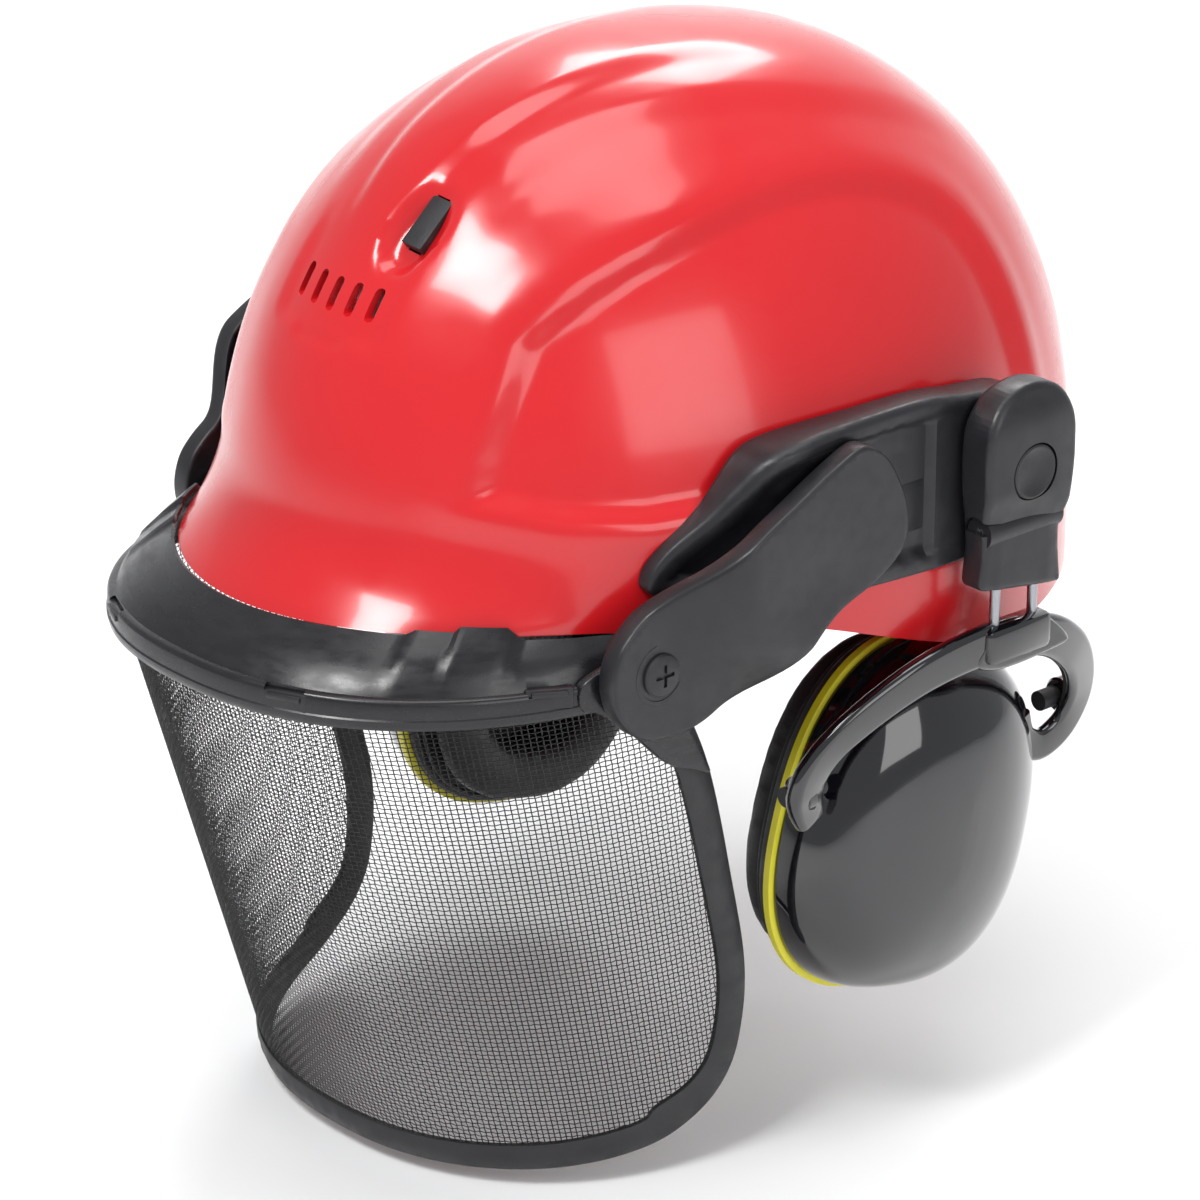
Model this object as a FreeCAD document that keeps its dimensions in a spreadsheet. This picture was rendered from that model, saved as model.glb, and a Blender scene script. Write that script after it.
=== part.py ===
"""Forestry helmet: red shell, head harness, hinged mesh visor and two ear muffs.

Millimetres. +Z is up, the wearer faces -Y and +X is the wearer's left. The origin is the centre of the
headband at the level of the brim, where the head sits.
"""

import FreeCAD, Part

import math
import os

import Sketcher
from FreeCAD import Placement, Rotation, Vector

SIZES = {
    # Shell: its widest outline lies at z = 0, and its crown at shell_height
    "shell_half_width": 107,
    "shell_front": 135,
    "shell_rear": 138,
    "shell_height": 139.5,
    "shell_wall": 3,
    # Brim: an oval of its own, blended into the shell
    "brim_half_width": 88,
    "brim_length": 112,
    "brim_centre": -39,
    "brim_level": 8,
    "flare_top": 32,
    "rim_front_level": 8.5,
    "rim_rear_level": -28,
    "rim_drop_start": -30,
    "rim_drop_end": 50,
    # Front vents and their shutter
    "vent_slots": 5,
    "vent_pitch": 7.4,
    "vent_slot_width": 3,
    "vent_slot_height": 8.5,
    "vent_level": 88,
    "shutter_gap": 1.6,
    "shutter_wall": 1.5,
    "shutter_half_width": 29,
    "shutter_bottom": 86.4,
    "shutter_top": 116,
    "tab_side": 14.6,
    "tab_front": -88.2,
    "tab_level": 103.9,
    "tab_length": 16,
    "tab_width": 7,
    "tab_height": 5,
    "tab_travel": 4,
    # Head harness
    "band_half_width": 79,
    "band_half_length": 99,
    "band_wall": 2,
    "band_bottom": -4,
    "band_height": 32,
    "band_gap_half": 52,
    "hanger_width": 14,
    "hanger_rise": 7,
    "sweat_thick": 4,
    "strap_half_width": 88,
    "strap_half_length": 108,
    "strap_top": 112,
    "strap_thick": 1.6,
    "strap_width": 20,
    "strap_foot": 36,
    "clip_width": 16,
    "clip_height": 9,
    "clip_gap": 0.4,
    "eye_radius": 3,
    "eye_drop": 8,
    "eye_front": -25,
    "eye_plate_side": 78.5,
    # Nape ratchet
    "nape_half_width": 27,
    "nape_front": 92,
    "nape_depth": 9,
    "nape_half_height": 16,
    "nape_wall": 2,
    "rack_thick": 1.8,
    "rack_height": 6,
    "rack_level": 8,
    "knob_radius": 16,
    "knob_depth": 12,
    "knob_grips": 12,
    "shaft_radius": 2.5,
    "pinion_radius": 4.4,
    "pinion_teeth": 10,
    # Visor arms: the rear pivot lifts the visor, the front pivot tilts it
    "lift_pivot_front": -31,
    "lift_pivot_level": 29.5,
    "tilt_pivot_front": -80,
    "tilt_pivot_level": -3,
    "arm_rear_radius": 29,
    "arm_front_radius": 21,
    "arm_inner": 110.7,
    "arm_thick": 6.3,
    "arm_front_inner": 92.2,
    "arm_bend_start": 33,
    "arm_bend_end": 54,
    "boss_radius": 9,
    "boss_length": 3.6,
    "screw_radius": 3,
    "screw_head_radius": 6.5,
    "screw_head_depth": 2,
    "turning_clearance": 0.05,
    "side_gap": 0.3,
    # Adapter plates in the shell's side slots
    "adapter_gap": 0.6,
    "adapter_inner": 107.6,
    "adapter_thick": 2.8,
    "adapter_front_inner": 88.6,
    "adapter_bend_start": -40,
    "adapter_bend_end": -74,
    "tongue_half_length": 11,
    "tongue_half_height": 8,
    "tongue_level": 26,
    # Visor frame, mesh and edge binding
    "frame_half_width": 93,
    "frame_length": 123,
    "frame_centre": -48,
    "frame_power": 2.3,
    "frame_top": -2.6,
    "frame_inner_top": 5,
    "frame_bottom": -12,
    "frame_wall": 2.5,
    "brim_clearance": 2.5,
    "mesh_bottom": -158,
    "mesh_bottom_half_width": 84,
    "mesh_bottom_front": -121,
    "mesh_bottom_centre": -26,
    "mesh_thick": 1.2,
    "binding_thick": 3.6,
    "binding_width": 9,
    "clip_length": 14,
    # Ear-muff bracket: button pivot, fore-and-aft hinge, two rods and the yoke
    "muff_pivot_rear": 38,
    "muff_pivot_level": 33,
    "muff_inner": 110.9,
    "muff_thick": 12,
    "muff_half_width": 17.5,
    "muff_top": 55,
    "muff_bottom": -2,
    "muff_waist_half": 14.5,
    "button_radius": 6.5,
    "button_shank": 4,
    "hinge_level": 16,
    "hinge_barrel": 6,
    "hinge_pin_radius": 1.5,
    "rod_radius": 1.5,
    "rod_spacing": 15,
    "rod_length": 30,
    "rod_top": 11,
    "yoke_thick": 6,
    "yoke_width": 9,
    "yoke_top_level": -14,
    "cup_axis_side": 100,
    "cup_axis_level": -54,
    "yoke_front": -30,
    "yoke_rear": 77,
    "pad_radius": 7,
    "pad_length": 6,
    "cup_pin_radius": 3,
    # Ear cup: ovals that lean back at the top
    "cup_centre_rear": 23.5,
    "cup_centre_level": -80,
    "cup_lean": 14,
    "cup_half_height": 54,
    "cup_half_width": 45,
    "cup_inner": 85,
    "cup_wall_depth": 13,
    "cup_dome_depth": 20,
    "cup_wall": 3,
    "ring_depth": 3,
    "ring_proud": 1.5,
    "base_depth": 4,
    "cushion_depth": 14,
    "ear_half_height": 32,
    "ear_half_width": 22,
    "foam_depth": 7,
}

FAR = 200
SIDEWAYS = Rotation(Vector(0, 1, 0), Vector(0, 0, 1), Vector(1, 0, 0), "ZXY")
REARWARD = Rotation(Vector(-1, 0, 0), Vector(0, 0, 1), Vector(0, 1, 0), "ZXY")
ALONG_Y = Rotation(Vector(1, 0, 0), -90)

doc = FreeCAD.newDocument("ForestryHelmet")
sheet = doc.addObject("Spreadsheet::Sheet", "Sizes")
for row, (name, value) in enumerate(SIZES.items(), 1):
    sheet.set(f"A{row}", name)
    sheet.set(f"B{row}", str(value))
    sheet.setAlias(f"B{row}", name)
doc.recompute()


def size(name):
    """The number in one cell of the sheet."""
    return float(sheet.get(name))


def number(formula):
    """What a formula on the sheet's cells comes to."""
    return float(sheet.evalExpression(formula))


# ---------------------------------------------------------------- document helpers


def bind(thing, formulas):
    """Bind properties of one object to formulas on the sheet's cells."""
    for prop, formula in formulas.items():
        thing.setExpression(prop, str(formula))
    return thing


def place(thing, position, rotation=Rotation()):
    """Put an object at three formulas, turned by a rotation."""
    thing.Placement = Placement(Vector(), rotation)
    return bind(thing, dict(zip(("Placement.Base.x", "Placement.Base.y", "Placement.Base.z"), position)))


def cylinder(name, radius, height, position, rotation=SIDEWAYS):
    """A round bar whose axis is the world X axis, unless a rotation says otherwise."""
    bar = doc.addObject("Part::Cylinder", name)
    bind(bar, {"Radius": radius, "Height": height})
    return place(bar, position, rotation)


def box(name, sides, position, rotation=Rotation()):
    block = doc.addObject("Part::Box", name)
    bind(block, dict(zip(("Length", "Width", "Height"), sides)))
    return place(block, position, rotation)


def oval(name, major, minor, length, position, rotation):
    """An oval bar: its long radius lies along the rotated X axis and its length along the rotated Z axis."""
    outline = doc.addObject("Part::Ellipse", name + "_outline")
    bind(outline, {"MajorRadius": major, "MinorRadius": minor})
    place(outline, position, rotation)
    bar = doc.addObject("Part::Extrusion", name)
    bar.Base = outline
    bar.DirMode = "Normal"
    bar.Solid = True
    return bind(bar, {"LengthFwd": length})


def cut(name, base, *tools):
    """The base less every tool."""
    for step, tool in enumerate(tools, 1):
        result = doc.addObject("Part::Cut", name if step == len(tools) else f"{name}_cut_{step}")
        result.Base = base
        result.Tool = tool
        base = result
    return base


def fuse(name, *things):
    result = doc.addObject("Part::MultiFuse", name)
    result.Shapes = list(things)
    return result


def common(name, *things):
    result = doc.addObject("Part::MultiCommon", name)
    result.Shapes = list(things)
    return result


def group(name, *things):
    """Separate solids kept in one sub-part."""
    result = doc.addObject("Part::Compound", name)
    result.Links = list(things)
    return result


def feature(name, shape):
    """A sub-part whose shape is made with Part's own functions."""
    result = doc.addObject("Part::Feature", name)
    result.Shape = shape
    result.Placement = Placement()
    return result


def new_body(name, position, rotation):
    return place(doc.addObject("PartDesign::Body", name), position, rotation)


def new_sketch(body, name, height="0"):
    """A sketch on the body's own XY plane, lifted by a formula."""
    sketch = body.newObject("Sketcher::SketchObject", name)
    plane = next(f for f in body.Origin.OriginFeatures if f.Role == "XY_Plane")
    sketch.AttachmentSupport = [(plane, "")]
    sketch.MapMode = "FlatFace"
    bind(sketch, {"AttachmentOffset.Base.z": height})
    return sketch


def fix_point(sketch, item, point, across, up):
    """Hold one point of a sketch at two formulas."""
    for kind, formula in (("DistanceX", across), ("DistanceY", up)):
        index = sketch.addConstraint(Sketcher.Constraint(kind, -1, 1, item, point, number(formula)))
        bind(sketch, {f"Constraints[{index}]": formula})


def draw_polygon(sketch, corners):
    """A closed outline whose corners are pairs of formulas."""
    spots = [Vector(number(across), number(up), 0) for across, up in corners]
    count = len(spots)
    for i in range(count):
        sketch.addGeometry(Part.LineSegment(spots[i], spots[(i + 1) % count]))
    for i in range(count):
        sketch.addConstraint(Sketcher.Constraint("Coincident", i, 2, (i + 1) % count, 1))
    for i, (across, up) in enumerate(corners):
        fix_point(sketch, i, 1, across, up)


def draw_circle(sketch, across, up, radius):
    """A full circle held at two formulas, with its radius bound."""
    centre = Vector(number(across), number(up), 0)
    item = sketch.addGeometry(Part.Circle(centre, Vector(0, 0, 1), number(radius)))
    fix_point(sketch, item, 3, across, up)
    index = sketch.addConstraint(Sketcher.Constraint("Radius", item, number(radius)))
    bind(sketch, {f"Constraints[{index}]": radius})


def add_feature(body, kind, name, sketch, length, back=False):
    """Pad or pocket a sketch by a formula, and check that it changed the solid."""
    before = 0 if body.Shape.isNull() else body.Shape.Volume
    step = body.newObject("PartDesign::" + kind, name)
    step.Profile = sketch
    step.Reversed = back
    bind(step, {"Length": length})
    doc.recompute()
    if abs(body.Shape.Volume - before) < 0.001:
        raise RuntimeError(f"{name} changes nothing")
    return step


def round_edges(body, name, radius, keep):
    """Fillet the edges of the body's last feature that keep() accepts."""
    base = body.Tip
    edges = [f"Edge{i}" for i, edge in enumerate(base.Shape.Edges, 1) if keep(edge)]
    fillet = body.newObject("PartDesign::Fillet", name)
    fillet.Base = (base, edges)
    bind(fillet, {"Radius": radius})
    doc.recompute()


def is_upright(edge):
    """A straight edge along the body's own Z axis."""
    if len(edge.Vertexes) != 2:
        return False
    way = edge.Vertexes[1].Point - edge.Vertexes[0].Point
    return edge.Curve.TypeId == "Part::GeomLine" and abs(way.z) > 0.99 * way.Length


def mirrored(name, source):
    """The wearer's right-hand twin of a left-hand piece."""
    twin = doc.addObject("Part::Mirroring", name)
    twin.Source = source
    twin.Normal = Vector(1, 0, 0)
    twin.Base = Vector(0, 0, 0)
    return twin


# ---------------------------------------------------------------- shell surfaces


def oval_wire(half_width, half_length, centre, level):
    """An oval outline in a level plane, with its centre moved along Y."""
    outline = Part.Ellipse(Vector(0, centre, level), half_length, half_width).toShape()
    outline.rotate(Vector(0, centre, level), Vector(0, 0, 1), 90)
    return Part.Wire(outline)


def dome(grow):
    """A solid dome inside the shell's outer face moved out by grow, with straight sides under its widest level."""
    front, rear = size("shell_front"), size("shell_rear")
    half_length = (front + rear) / 2
    ball = Part.makeSphere(1, Vector(), Vector(0, 0, 1), 0, 90, 360)
    scale = FreeCAD.Matrix()
    scale.scale(size("shell_half_width") + grow, half_length + grow, size("shell_height") + grow)
    scale.move(Vector(0, (rear - front) / 2, 0))
    cap = ball.transformGeometry(scale)
    rim = oval_wire(size("shell_half_width") + grow, half_length + grow, (rear - front) / 2, -40 + grow)
    skirt = Part.Face(rim).extrude(Vector(0, 0, 40 - grow))
    return cap.fuse(skirt)


def brim(drop):
    """The solid flare from the brim's edge up to the shell, lowered by drop."""
    top, low = size("flare_top"), size("brim_level")
    share = math.sqrt(1 - (top / size("shell_height")) ** 2)
    front, rear = size("shell_front"), size("shell_rear")
    edge = (size("brim_half_width"), size("brim_length"), size("brim_centre"))
    root = (size("shell_half_width") * share - 3, (front + rear) / 2 * share - 3, (rear - front) / 2)
    middle = [0.72 * b + 0.28 * a for a, b in zip(edge, root)]
    wires = [oval_wire(*edge, low), oval_wire(*middle, low + 0.4 * (top - low)), oval_wire(*root, top)]
    shape = Part.makeLoft(wires, True, False)
    shape.translate(Vector(0, 0, -drop))
    return shape


def side_prism(points, half_width=FAR):
    """A prism across the helmet; its outline is given as (y, z) points."""
    spots = [Vector(-half_width, y, z) for y, z in points]
    return Part.Face(Part.makePolygon(spots + spots[:1])).extrude(Vector(2 * half_width, 0, 0))


def below_rim():
    """Everything under the shell's rim, which drops from the brim to the nape."""
    level = size("rim_front_level")
    rear = size("rim_rear_level")
    line = [(-FAR, level), (size("rim_drop_start"), level), (size("rim_drop_end"), rear), (FAR, rear)]
    return side_prism(line + [(FAR, -FAR), (-FAR, -FAR)])


def tab_frame():
    """Where the shutter's thumb tab sits: x across, y up the front of the shell, z out of it."""
    side, front, level = size("tab_side"), size("tab_front"), size("tab_level")
    normal = Vector(
        side / size("shell_half_width") ** 2, front / size("shell_front") ** 2, level / size("shell_height") ** 2
    )
    normal.normalize()
    upward = Vector(0, normal.z, -normal.y)
    return Placement(Vector(side, front, level), Rotation(Vector(1, 0, 0), upward, normal, "ZYX"))


def framed_block(length, width, low, high):
    """A block in the thumb tab's frame, long up the shell."""
    block = Part.makeBox(width, length, high - low, Vector(-width / 2, -length / 2, low))
    block.Placement = tab_frame()
    return block


def both_sides(shape):
    return [shape, shape.mirror(Vector(), Vector(1, 0, 0))]


def make_helmet_shell():
    wall = size("shell_wall")
    rim_tool = below_rim()
    cap = dome(0).cut(rim_tool).cut(dome(-wall)).cut(brim(wall))
    flare = brim(0).cut(rim_tool).cut(brim(wall)).cut(dome(-wall))
    shape = cap.fuse(flare).removeSplitter()
    width, height = size("vent_slot_width"), size("vent_slot_height")
    middle = (size("vent_slots") - 1) / 2
    for i in range(int(size("vent_slots"))):
        across = (i - middle) * size("vent_pitch")
        corner = Vector(across - width / 2, -FAR, size("vent_level") - height / 2)
        shape = shape.cut(Part.makeBox(width, FAR - 60, height, corner))
    neck_slot = framed_block(size("tab_length") * 0.5 + 2 * size("tab_travel") + 1, 4.4, -12, 8)
    tongue_slot = Part.makeBox(
        FAR, 2 * size("tongue_half_length") + 1, 2 * size("tongue_half_height") + 1,
        Vector(60, -size("tongue_half_length") - 0.5, size("tongue_level") - size("tongue_half_height") - 0.5),
    )
    for tool in [neck_slot] + both_sides(tongue_slot):
        shape = shape.cut(tool)
    return feature("helmet_shell", shape)


def make_vent_shutter():
    """A curved plate under the front vents, whose lower edge uncovers them as the thumb tab is pushed up."""
    outer = -size("shell_wall") - size("shutter_gap")
    half = size("shutter_half_width")
    low, high = size("shutter_bottom"), size("shutter_top")
    window = Part.makeBox(2 * half, 70, high - low, Vector(-half, -130, low))
    shape = dome(outer).cut(dome(outer - size("shutter_wall"))).common(window)
    neck = framed_block(size("tab_length") * 0.5, 3.4, outer - 0.8, 1)
    tab = framed_block(size("tab_length"), size("tab_width"), 0.9, 0.9 + size("tab_height"))
    return feature("vent_shutter", shape.fuse(neck.fuse(tab)).removeSplitter())


# ---------------------------------------------------------------- head harness


def level_oval(name, half_width, half_length, low, height):
    """An upright oval bar about the Z axis."""
    return oval(name, half_length, half_width, height, ("0", "0", low), Rotation(Vector(0, 0, 1), 90))


def radial_box(name, angle, near, far, width, low, height):
    """A block that points away from the Z axis at an angle from +X."""
    turn = Rotation(Vector(0, 0, 1), angle)
    side = turn.multVec(Vector(0, -1, 0))
    way = turn.multVec(Vector(1, 0, 0))
    x = f"({near}) * {way.x} + ({width}) / 2 * {side.x}"
    y = f"({near}) * {way.y} + ({width}) / 2 * {side.y}"
    return box(name, (f"({far}) - ({near})", width, height), (x, y, low), turn)


FOOT_ANGLES = (30, 90, 150, 210, 270, 330)


def oval_radius(angle, half_width, half_length):
    """A formula for how far a ray from the Z axis runs to a level oval."""
    return f"1 / sqrt((cos({angle} deg) / ({half_width}))^2 + (sin({angle} deg) / ({half_length}))^2)"


def make_headband():
    """The plastic band round the head, open at the nape, with hangers up to the straps and two strap eyes."""
    wall, low = "Sizes.band_wall", "Sizes.band_bottom"
    width, length = "Sizes.band_half_width", "Sizes.band_half_length"
    outer = level_oval("band_outer", f"{width} + {wall}", f"{length} + {wall}", low, "Sizes.band_height")
    hangers = []
    for angle in FOOT_ANGLES:
        far = oval_radius(angle, f"{width} + {wall}", f"{length} + {wall}")
        hangers.append(
            radial_box(
                f"hanger_{angle}", angle, f"{far} - 5", far, "Sizes.hanger_width",
                f"{low} + Sizes.band_height - 4", "Sizes.hanger_rise + 4",
            )
        )
    lug_sides = ("2 * Sizes.eye_plate_side", "12", "Sizes.eye_drop + 6")
    lug = box("eye_lugs", lug_sides, ("-Sizes.eye_plate_side", "Sizes.eye_front - 6", f"{low} - Sizes.eye_drop"))
    inner = level_oval("band_inner", width, length, "-30", "100")
    gap = box("band_gap", ("2 * Sizes.band_gap_half", "80", "100"), ("-Sizes.band_gap_half", "30", "-30"))
    eyes = cylinder("eye_bore", "Sizes.eye_radius", "400", ("-200", "Sizes.eye_front", f"{low} - Sizes.eye_drop / 2"))
    return cut("headband", fuse("band_blank", outer, lug, *hangers), inner, gap, eyes)


def make_sweatband():
    """The padded brow lining inside the front half of the headband."""
    gap = 0.3
    width, length = f"Sizes.band_half_width - {gap}", f"Sizes.band_half_length - {gap}"
    thick = "Sizes.sweat_thick"
    outer = level_oval("sweat_outer", width, length, "Sizes.band_bottom + 1", "Sizes.band_height - 2")
    inner = level_oval("sweat_inner", f"{width} - {thick}", f"{length} - {thick}", "-30", "100")
    rear = box("sweat_rear", ("400", "200", "100"), ("-200", "-25", "-30"))
    return cut("sweatband", outer, inner, rear)


def make_cradle_straps():
    """Three woven straps that cross over the head: thin bands of one egg-shaped surface."""
    half_width, half_length, top = "Sizes.strap_half_width", "Sizes.strap_half_length", "Sizes.strap_top"
    thick = "Sizes.strap_thick"
    eggs = []
    for name, less in (("strap_egg", "0"), ("strap_hollow", thick)):
        egg = doc.addObject("Part::Ellipsoid", name)
        bind(egg, {"Radius1": f"{top} - {less}", "Radius2": f"{half_width} - {less}", "Radius3": f"{half_length} - {less}"})
        eggs.append(egg)
    bands = []
    for angle in FOOT_ANGLES[:3]:
        width = "Sizes.strap_width"
        bands.append(radial_box(f"strap_band_{angle}", angle, "-150", "150", width, "Sizes.strap_foot", "150"))
    star = fuse("strap_star", *bands)
    return common("cradle_straps", cut("strap_skin", *eggs), star)


def make_cradle_clips():
    """Six clips that hold the strap ends out to the shell."""
    clips = []
    share = 0.958
    for angle in FOOT_ANGLES:
        near = oval_radius(angle, "Sizes.strap_half_width", "Sizes.strap_half_length")
        half_length = "(Sizes.shell_front + Sizes.shell_rear) / 2 - Sizes.shell_wall"
        far = oval_radius(angle, "Sizes.shell_half_width - Sizes.shell_wall", half_length)
        low = "Sizes.strap_foot - Sizes.clip_height - 0.5"
        clips.append(
            radial_box(
                f"clip_{angle}", angle, f"{near} - 4.5", f"{share} * {far} - Sizes.clip_gap - 3",
                "Sizes.clip_width", low, "Sizes.clip_height",
            )
        )
    return group("cradle_clips", *clips)


# ---------------------------------------------------------------- nape ratchet


def make_nape_housing():
    """The channel that both band racks slide through, with a bore for the knob's shaft."""
    body = new_body("nape_housing", ("0", "Sizes.nape_front", "0"), REARWARD)
    half, tall = "Sizes.nape_half_width", "Sizes.nape_half_height"
    block = new_sketch(body, "nape_outline")
    draw_polygon(block, [(f"-{half}", f"-{tall}"), (half, f"-{tall}"), (half, tall), (f"-{half}", tall)])
    add_feature(body, "Pad", "nape_pad", block, "Sizes.nape_depth")
    round_edges(body, "nape_corners", "6", is_upright)
    channel = new_sketch(body, "nape_channel", "Sizes.nape_depth - Sizes.nape_wall")
    reach, lip = f"{half} + 1", f"{tall} - Sizes.nape_wall"
    draw_polygon(channel, [(f"-({reach})", f"-({lip})"), (reach, f"-({lip})"), (reach, lip), (f"-({reach})", lip)])
    add_feature(body, "Pocket", "nape_slot", channel, "Sizes.nape_depth - 2 * Sizes.nape_wall")
    bore = new_sketch(body, "nape_bore", "Sizes.nape_depth")
    draw_circle(bore, "0", "0", "Sizes.shaft_radius + Sizes.turning_clearance")
    add_feature(body, "Pocket", "nape_hole", bore, "Sizes.nape_wall + 0.5")
    return body


def make_nape_knob():
    """The ribbed knob and its shaft."""
    start = "Sizes.nape_front + Sizes.nape_depth"
    body = new_body("nape_knob", ("0", f"{start} + 0.4", "0"), REARWARD)
    disc = new_sketch(body, "knob_disc")
    draw_circle(disc, "0", "0", "Sizes.knob_radius")
    add_feature(body, "Pad", "knob_pad", disc, "Sizes.knob_depth")
    shaft = new_sketch(body, "knob_shaft_outline")
    draw_circle(shaft, "0", "0", "Sizes.shaft_radius")
    add_feature(body, "Pad", "knob_shaft", shaft, "0.4 + Sizes.nape_wall + 0.2", back=True)
    grip = new_sketch(body, "knob_grip_outline", "Sizes.knob_depth")
    draw_circle(grip, "Sizes.knob_radius + 1", "0", "2.6")
    notch = add_feature(body, "Pocket", "knob_grip", grip, "Sizes.knob_depth - 2")
    pattern = body.newObject("PartDesign::PolarPattern", "knob_grips")
    pattern.Originals = [notch]
    pattern.Axis = (grip, ["N_Axis"])
    pattern.Angle = 360
    bind(pattern, {"Occurrences": "Sizes.knob_grips"})
    body.Tip = pattern
    return body


def make_nape_pinion():
    """The toothed wheel inside the channel, fixed on the knob's shaft."""
    front = "Sizes.nape_front + Sizes.nape_wall + 0.3"
    depth = "Sizes.nape_depth - 2 * Sizes.nape_wall - 0.5"
    body = new_body("nape_pinion", ("0", front, "0"), REARWARD)
    disc = new_sketch(body, "pinion_disc")
    draw_circle(disc, "0", "0", "Sizes.pinion_radius")
    add_feature(body, "Pad", "pinion_pad", disc, depth)
    gap = new_sketch(body, "pinion_gap_outline")
    draw_circle(gap, "Sizes.pinion_radius + 0.4", "0", "0.9")
    notch = add_feature(body, "Pocket", "pinion_gap", gap, depth, back=True)
    pattern = body.newObject("PartDesign::PolarPattern", "pinion_gaps")
    pattern.Originals = [notch]
    pattern.Axis = (gap, ["N_Axis"])
    pattern.Angle = 360
    bind(pattern, {"Occurrences": "Sizes.pinion_teeth"})
    body.Tip = pattern
    return body


def make_band_rack(name, side):
    """One tail of the band: side 1 is the left tail with the upper rack, -1 the right tail with the lower."""
    body = new_body(name, ("0", "0", "-Sizes.nape_half_height + 4"), Rotation())
    thick = "Sizes.rack_thick"
    rear = "Sizes.nape_front + Sizes.nape_depth / 2 + Sizes.rack_thick / 2"
    line = [("36", rear), ("49", "76"), ("62", "56")]
    near_line = [("62", f"56 - 1.4 * {thick}"), ("47.5", f"76 - {thick}"), ("35", f"{rear} - {thick}")]
    outline = new_sketch(body, name + "_outline")
    corners = [(f"{side} * {x}", y) for x, y in line + near_line]
    draw_polygon(outline, corners)
    add_feature(body, "Pad", name + "_tail", outline, "2 * Sizes.nape_half_height - 8")
    strip = new_sketch(body, name + "_strip", f"Sizes.nape_half_height - 4 + {side} * Sizes.rack_level - 3")
    strip_corners = [("-18", rear), ("36.4", rear), ("36.4", f"{rear} - {thick}"), ("-18", f"{rear} - {thick}")]
    draw_polygon(strip, [(f"{side} * {x}", y) for x, y in strip_corners])
    add_feature(body, "Pad", name + "_rack", strip, "Sizes.rack_height")
    return body


# ---------------------------------------------------------------- visor arms and adapters


def side_plan(name, corners):
    """A tall block over a plan outline of (x, y) formulas, used to trim side pieces to their bent plan."""
    body = new_body(name, ("0", "0", "-60"), Rotation())
    outline = new_sketch(body, name + "_outline")
    draw_polygon(outline, corners)
    add_feature(body, "Pad", name + "_pad", outline, "160")
    return body


def tangent_corners(first, second, first_radius, second_radius):
    """The four corners where two straight edges touch two circles, as numbers."""
    way = second - first
    lean = math.asin((first_radius - second_radius) / way.Length)
    turn = math.atan2(way.y, way.x)
    corners = []
    for side in (1, -1):
        angle = turn + side * (math.pi / 2 - lean)
        normal = Vector(math.cos(angle), math.sin(angle), 0)
        pair = [first + normal * first_radius, second + normal * second_radius]
        corners += pair if side == 1 else pair[::-1]
    return corners


def make_visor_arm():
    """The big side arm: two round ends joined by a web, bent inward towards the front."""
    rear = Vector(size("lift_pivot_front"), size("lift_pivot_level"), 0)
    front = Vector(size("tilt_pivot_front"), size("tilt_pivot_level"), 0)
    corners = tangent_corners(rear, front, size("arm_rear_radius"), size("arm_front_radius"))
    outline = Part.Face(Part.makePolygon([Vector(90, p.x, p.y) for p in corners + corners[:1]]))
    web = feature("arm_web", outline.extrude(Vector(40, 0, 0)))
    rear_at = ("90", "Sizes.lift_pivot_front", "Sizes.lift_pivot_level")
    front_at = ("90", "Sizes.tilt_pivot_front", "Sizes.tilt_pivot_level")
    rear_end = cylinder("arm_rear_end", "Sizes.arm_rear_radius", "40", rear_at)
    front_end = cylinder("arm_front_end", "Sizes.arm_front_radius", "40", front_at)
    inner, front_inner = "Sizes.arm_inner", "Sizes.arm_front_inner"
    start, end, far = size("arm_bend_start"), size("arm_bend_end"), 95
    near_side, front_side, thick = number(inner), number(front_inner), size("arm_thick")
    layer = [(near_side, 0), (near_side, start), (front_side, end), (front_side, far), (front_side + thick, far),
             (front_side + thick, end + 2), (near_side + thick, start + 2), (near_side + thick, 0)]
    profile = [Vector(side, rear.x, rear.y + radius) for side, radius in layer]
    turned = Part.Face(Part.makePolygon(profile + profile[:1])).revolve(profile[0], Vector(1, 0, 0), 360)
    blank = common("arm_blank", fuse("arm_hull", web, rear_end, front_end), feature("arm_layer", turned))
    clearance = "Sizes.turning_clearance"
    socket = cylinder(
        "arm_socket", f"Sizes.boss_radius + {clearance}", "10 + Sizes.boss_length + 0.3",
        (f"{inner} - 10", "Sizes.lift_pivot_front", "Sizes.lift_pivot_level"),
    )
    bore = cylinder("arm_bore", "Sizes.screw_radius", "40", front_at)
    seat = cylinder(
        "arm_seat", "Sizes.screw_head_radius", "20",
        (f"{front_inner} + Sizes.arm_thick - Sizes.screw_head_depth", "Sizes.tilt_pivot_front", "Sizes.tilt_pivot_level"),
    )
    return cut("left_visor_arm", blank, socket, bore, seat)


def make_tilt_screw():
    """The screw through the arm's front end on which the visor frame tilts."""
    outer = "Sizes.arm_front_inner + Sizes.arm_thick"
    pivot = ("Sizes.tilt_pivot_front", "Sizes.tilt_pivot_level")
    tip = "Sizes.arm_front_inner - Sizes.side_gap - 3"
    shank = cylinder("screw_shank", "Sizes.screw_radius", f"{outer} - Sizes.screw_head_depth - ({tip})", (tip, *pivot))
    head = cylinder(
        "screw_head", "Sizes.screw_head_radius", "Sizes.screw_head_depth + 0.8",
        (f"{outer} - Sizes.screw_head_depth", *pivot),
    )
    slot_at = (f"{outer}", "Sizes.tilt_pivot_front - 8", "Sizes.tilt_pivot_level - 0.7")
    slot = box("screw_slot", ("4", "16", "1.4"), slot_at)
    return cut("left_tilt_screw", fuse("screw_blank", shank, head), slot)


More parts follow.
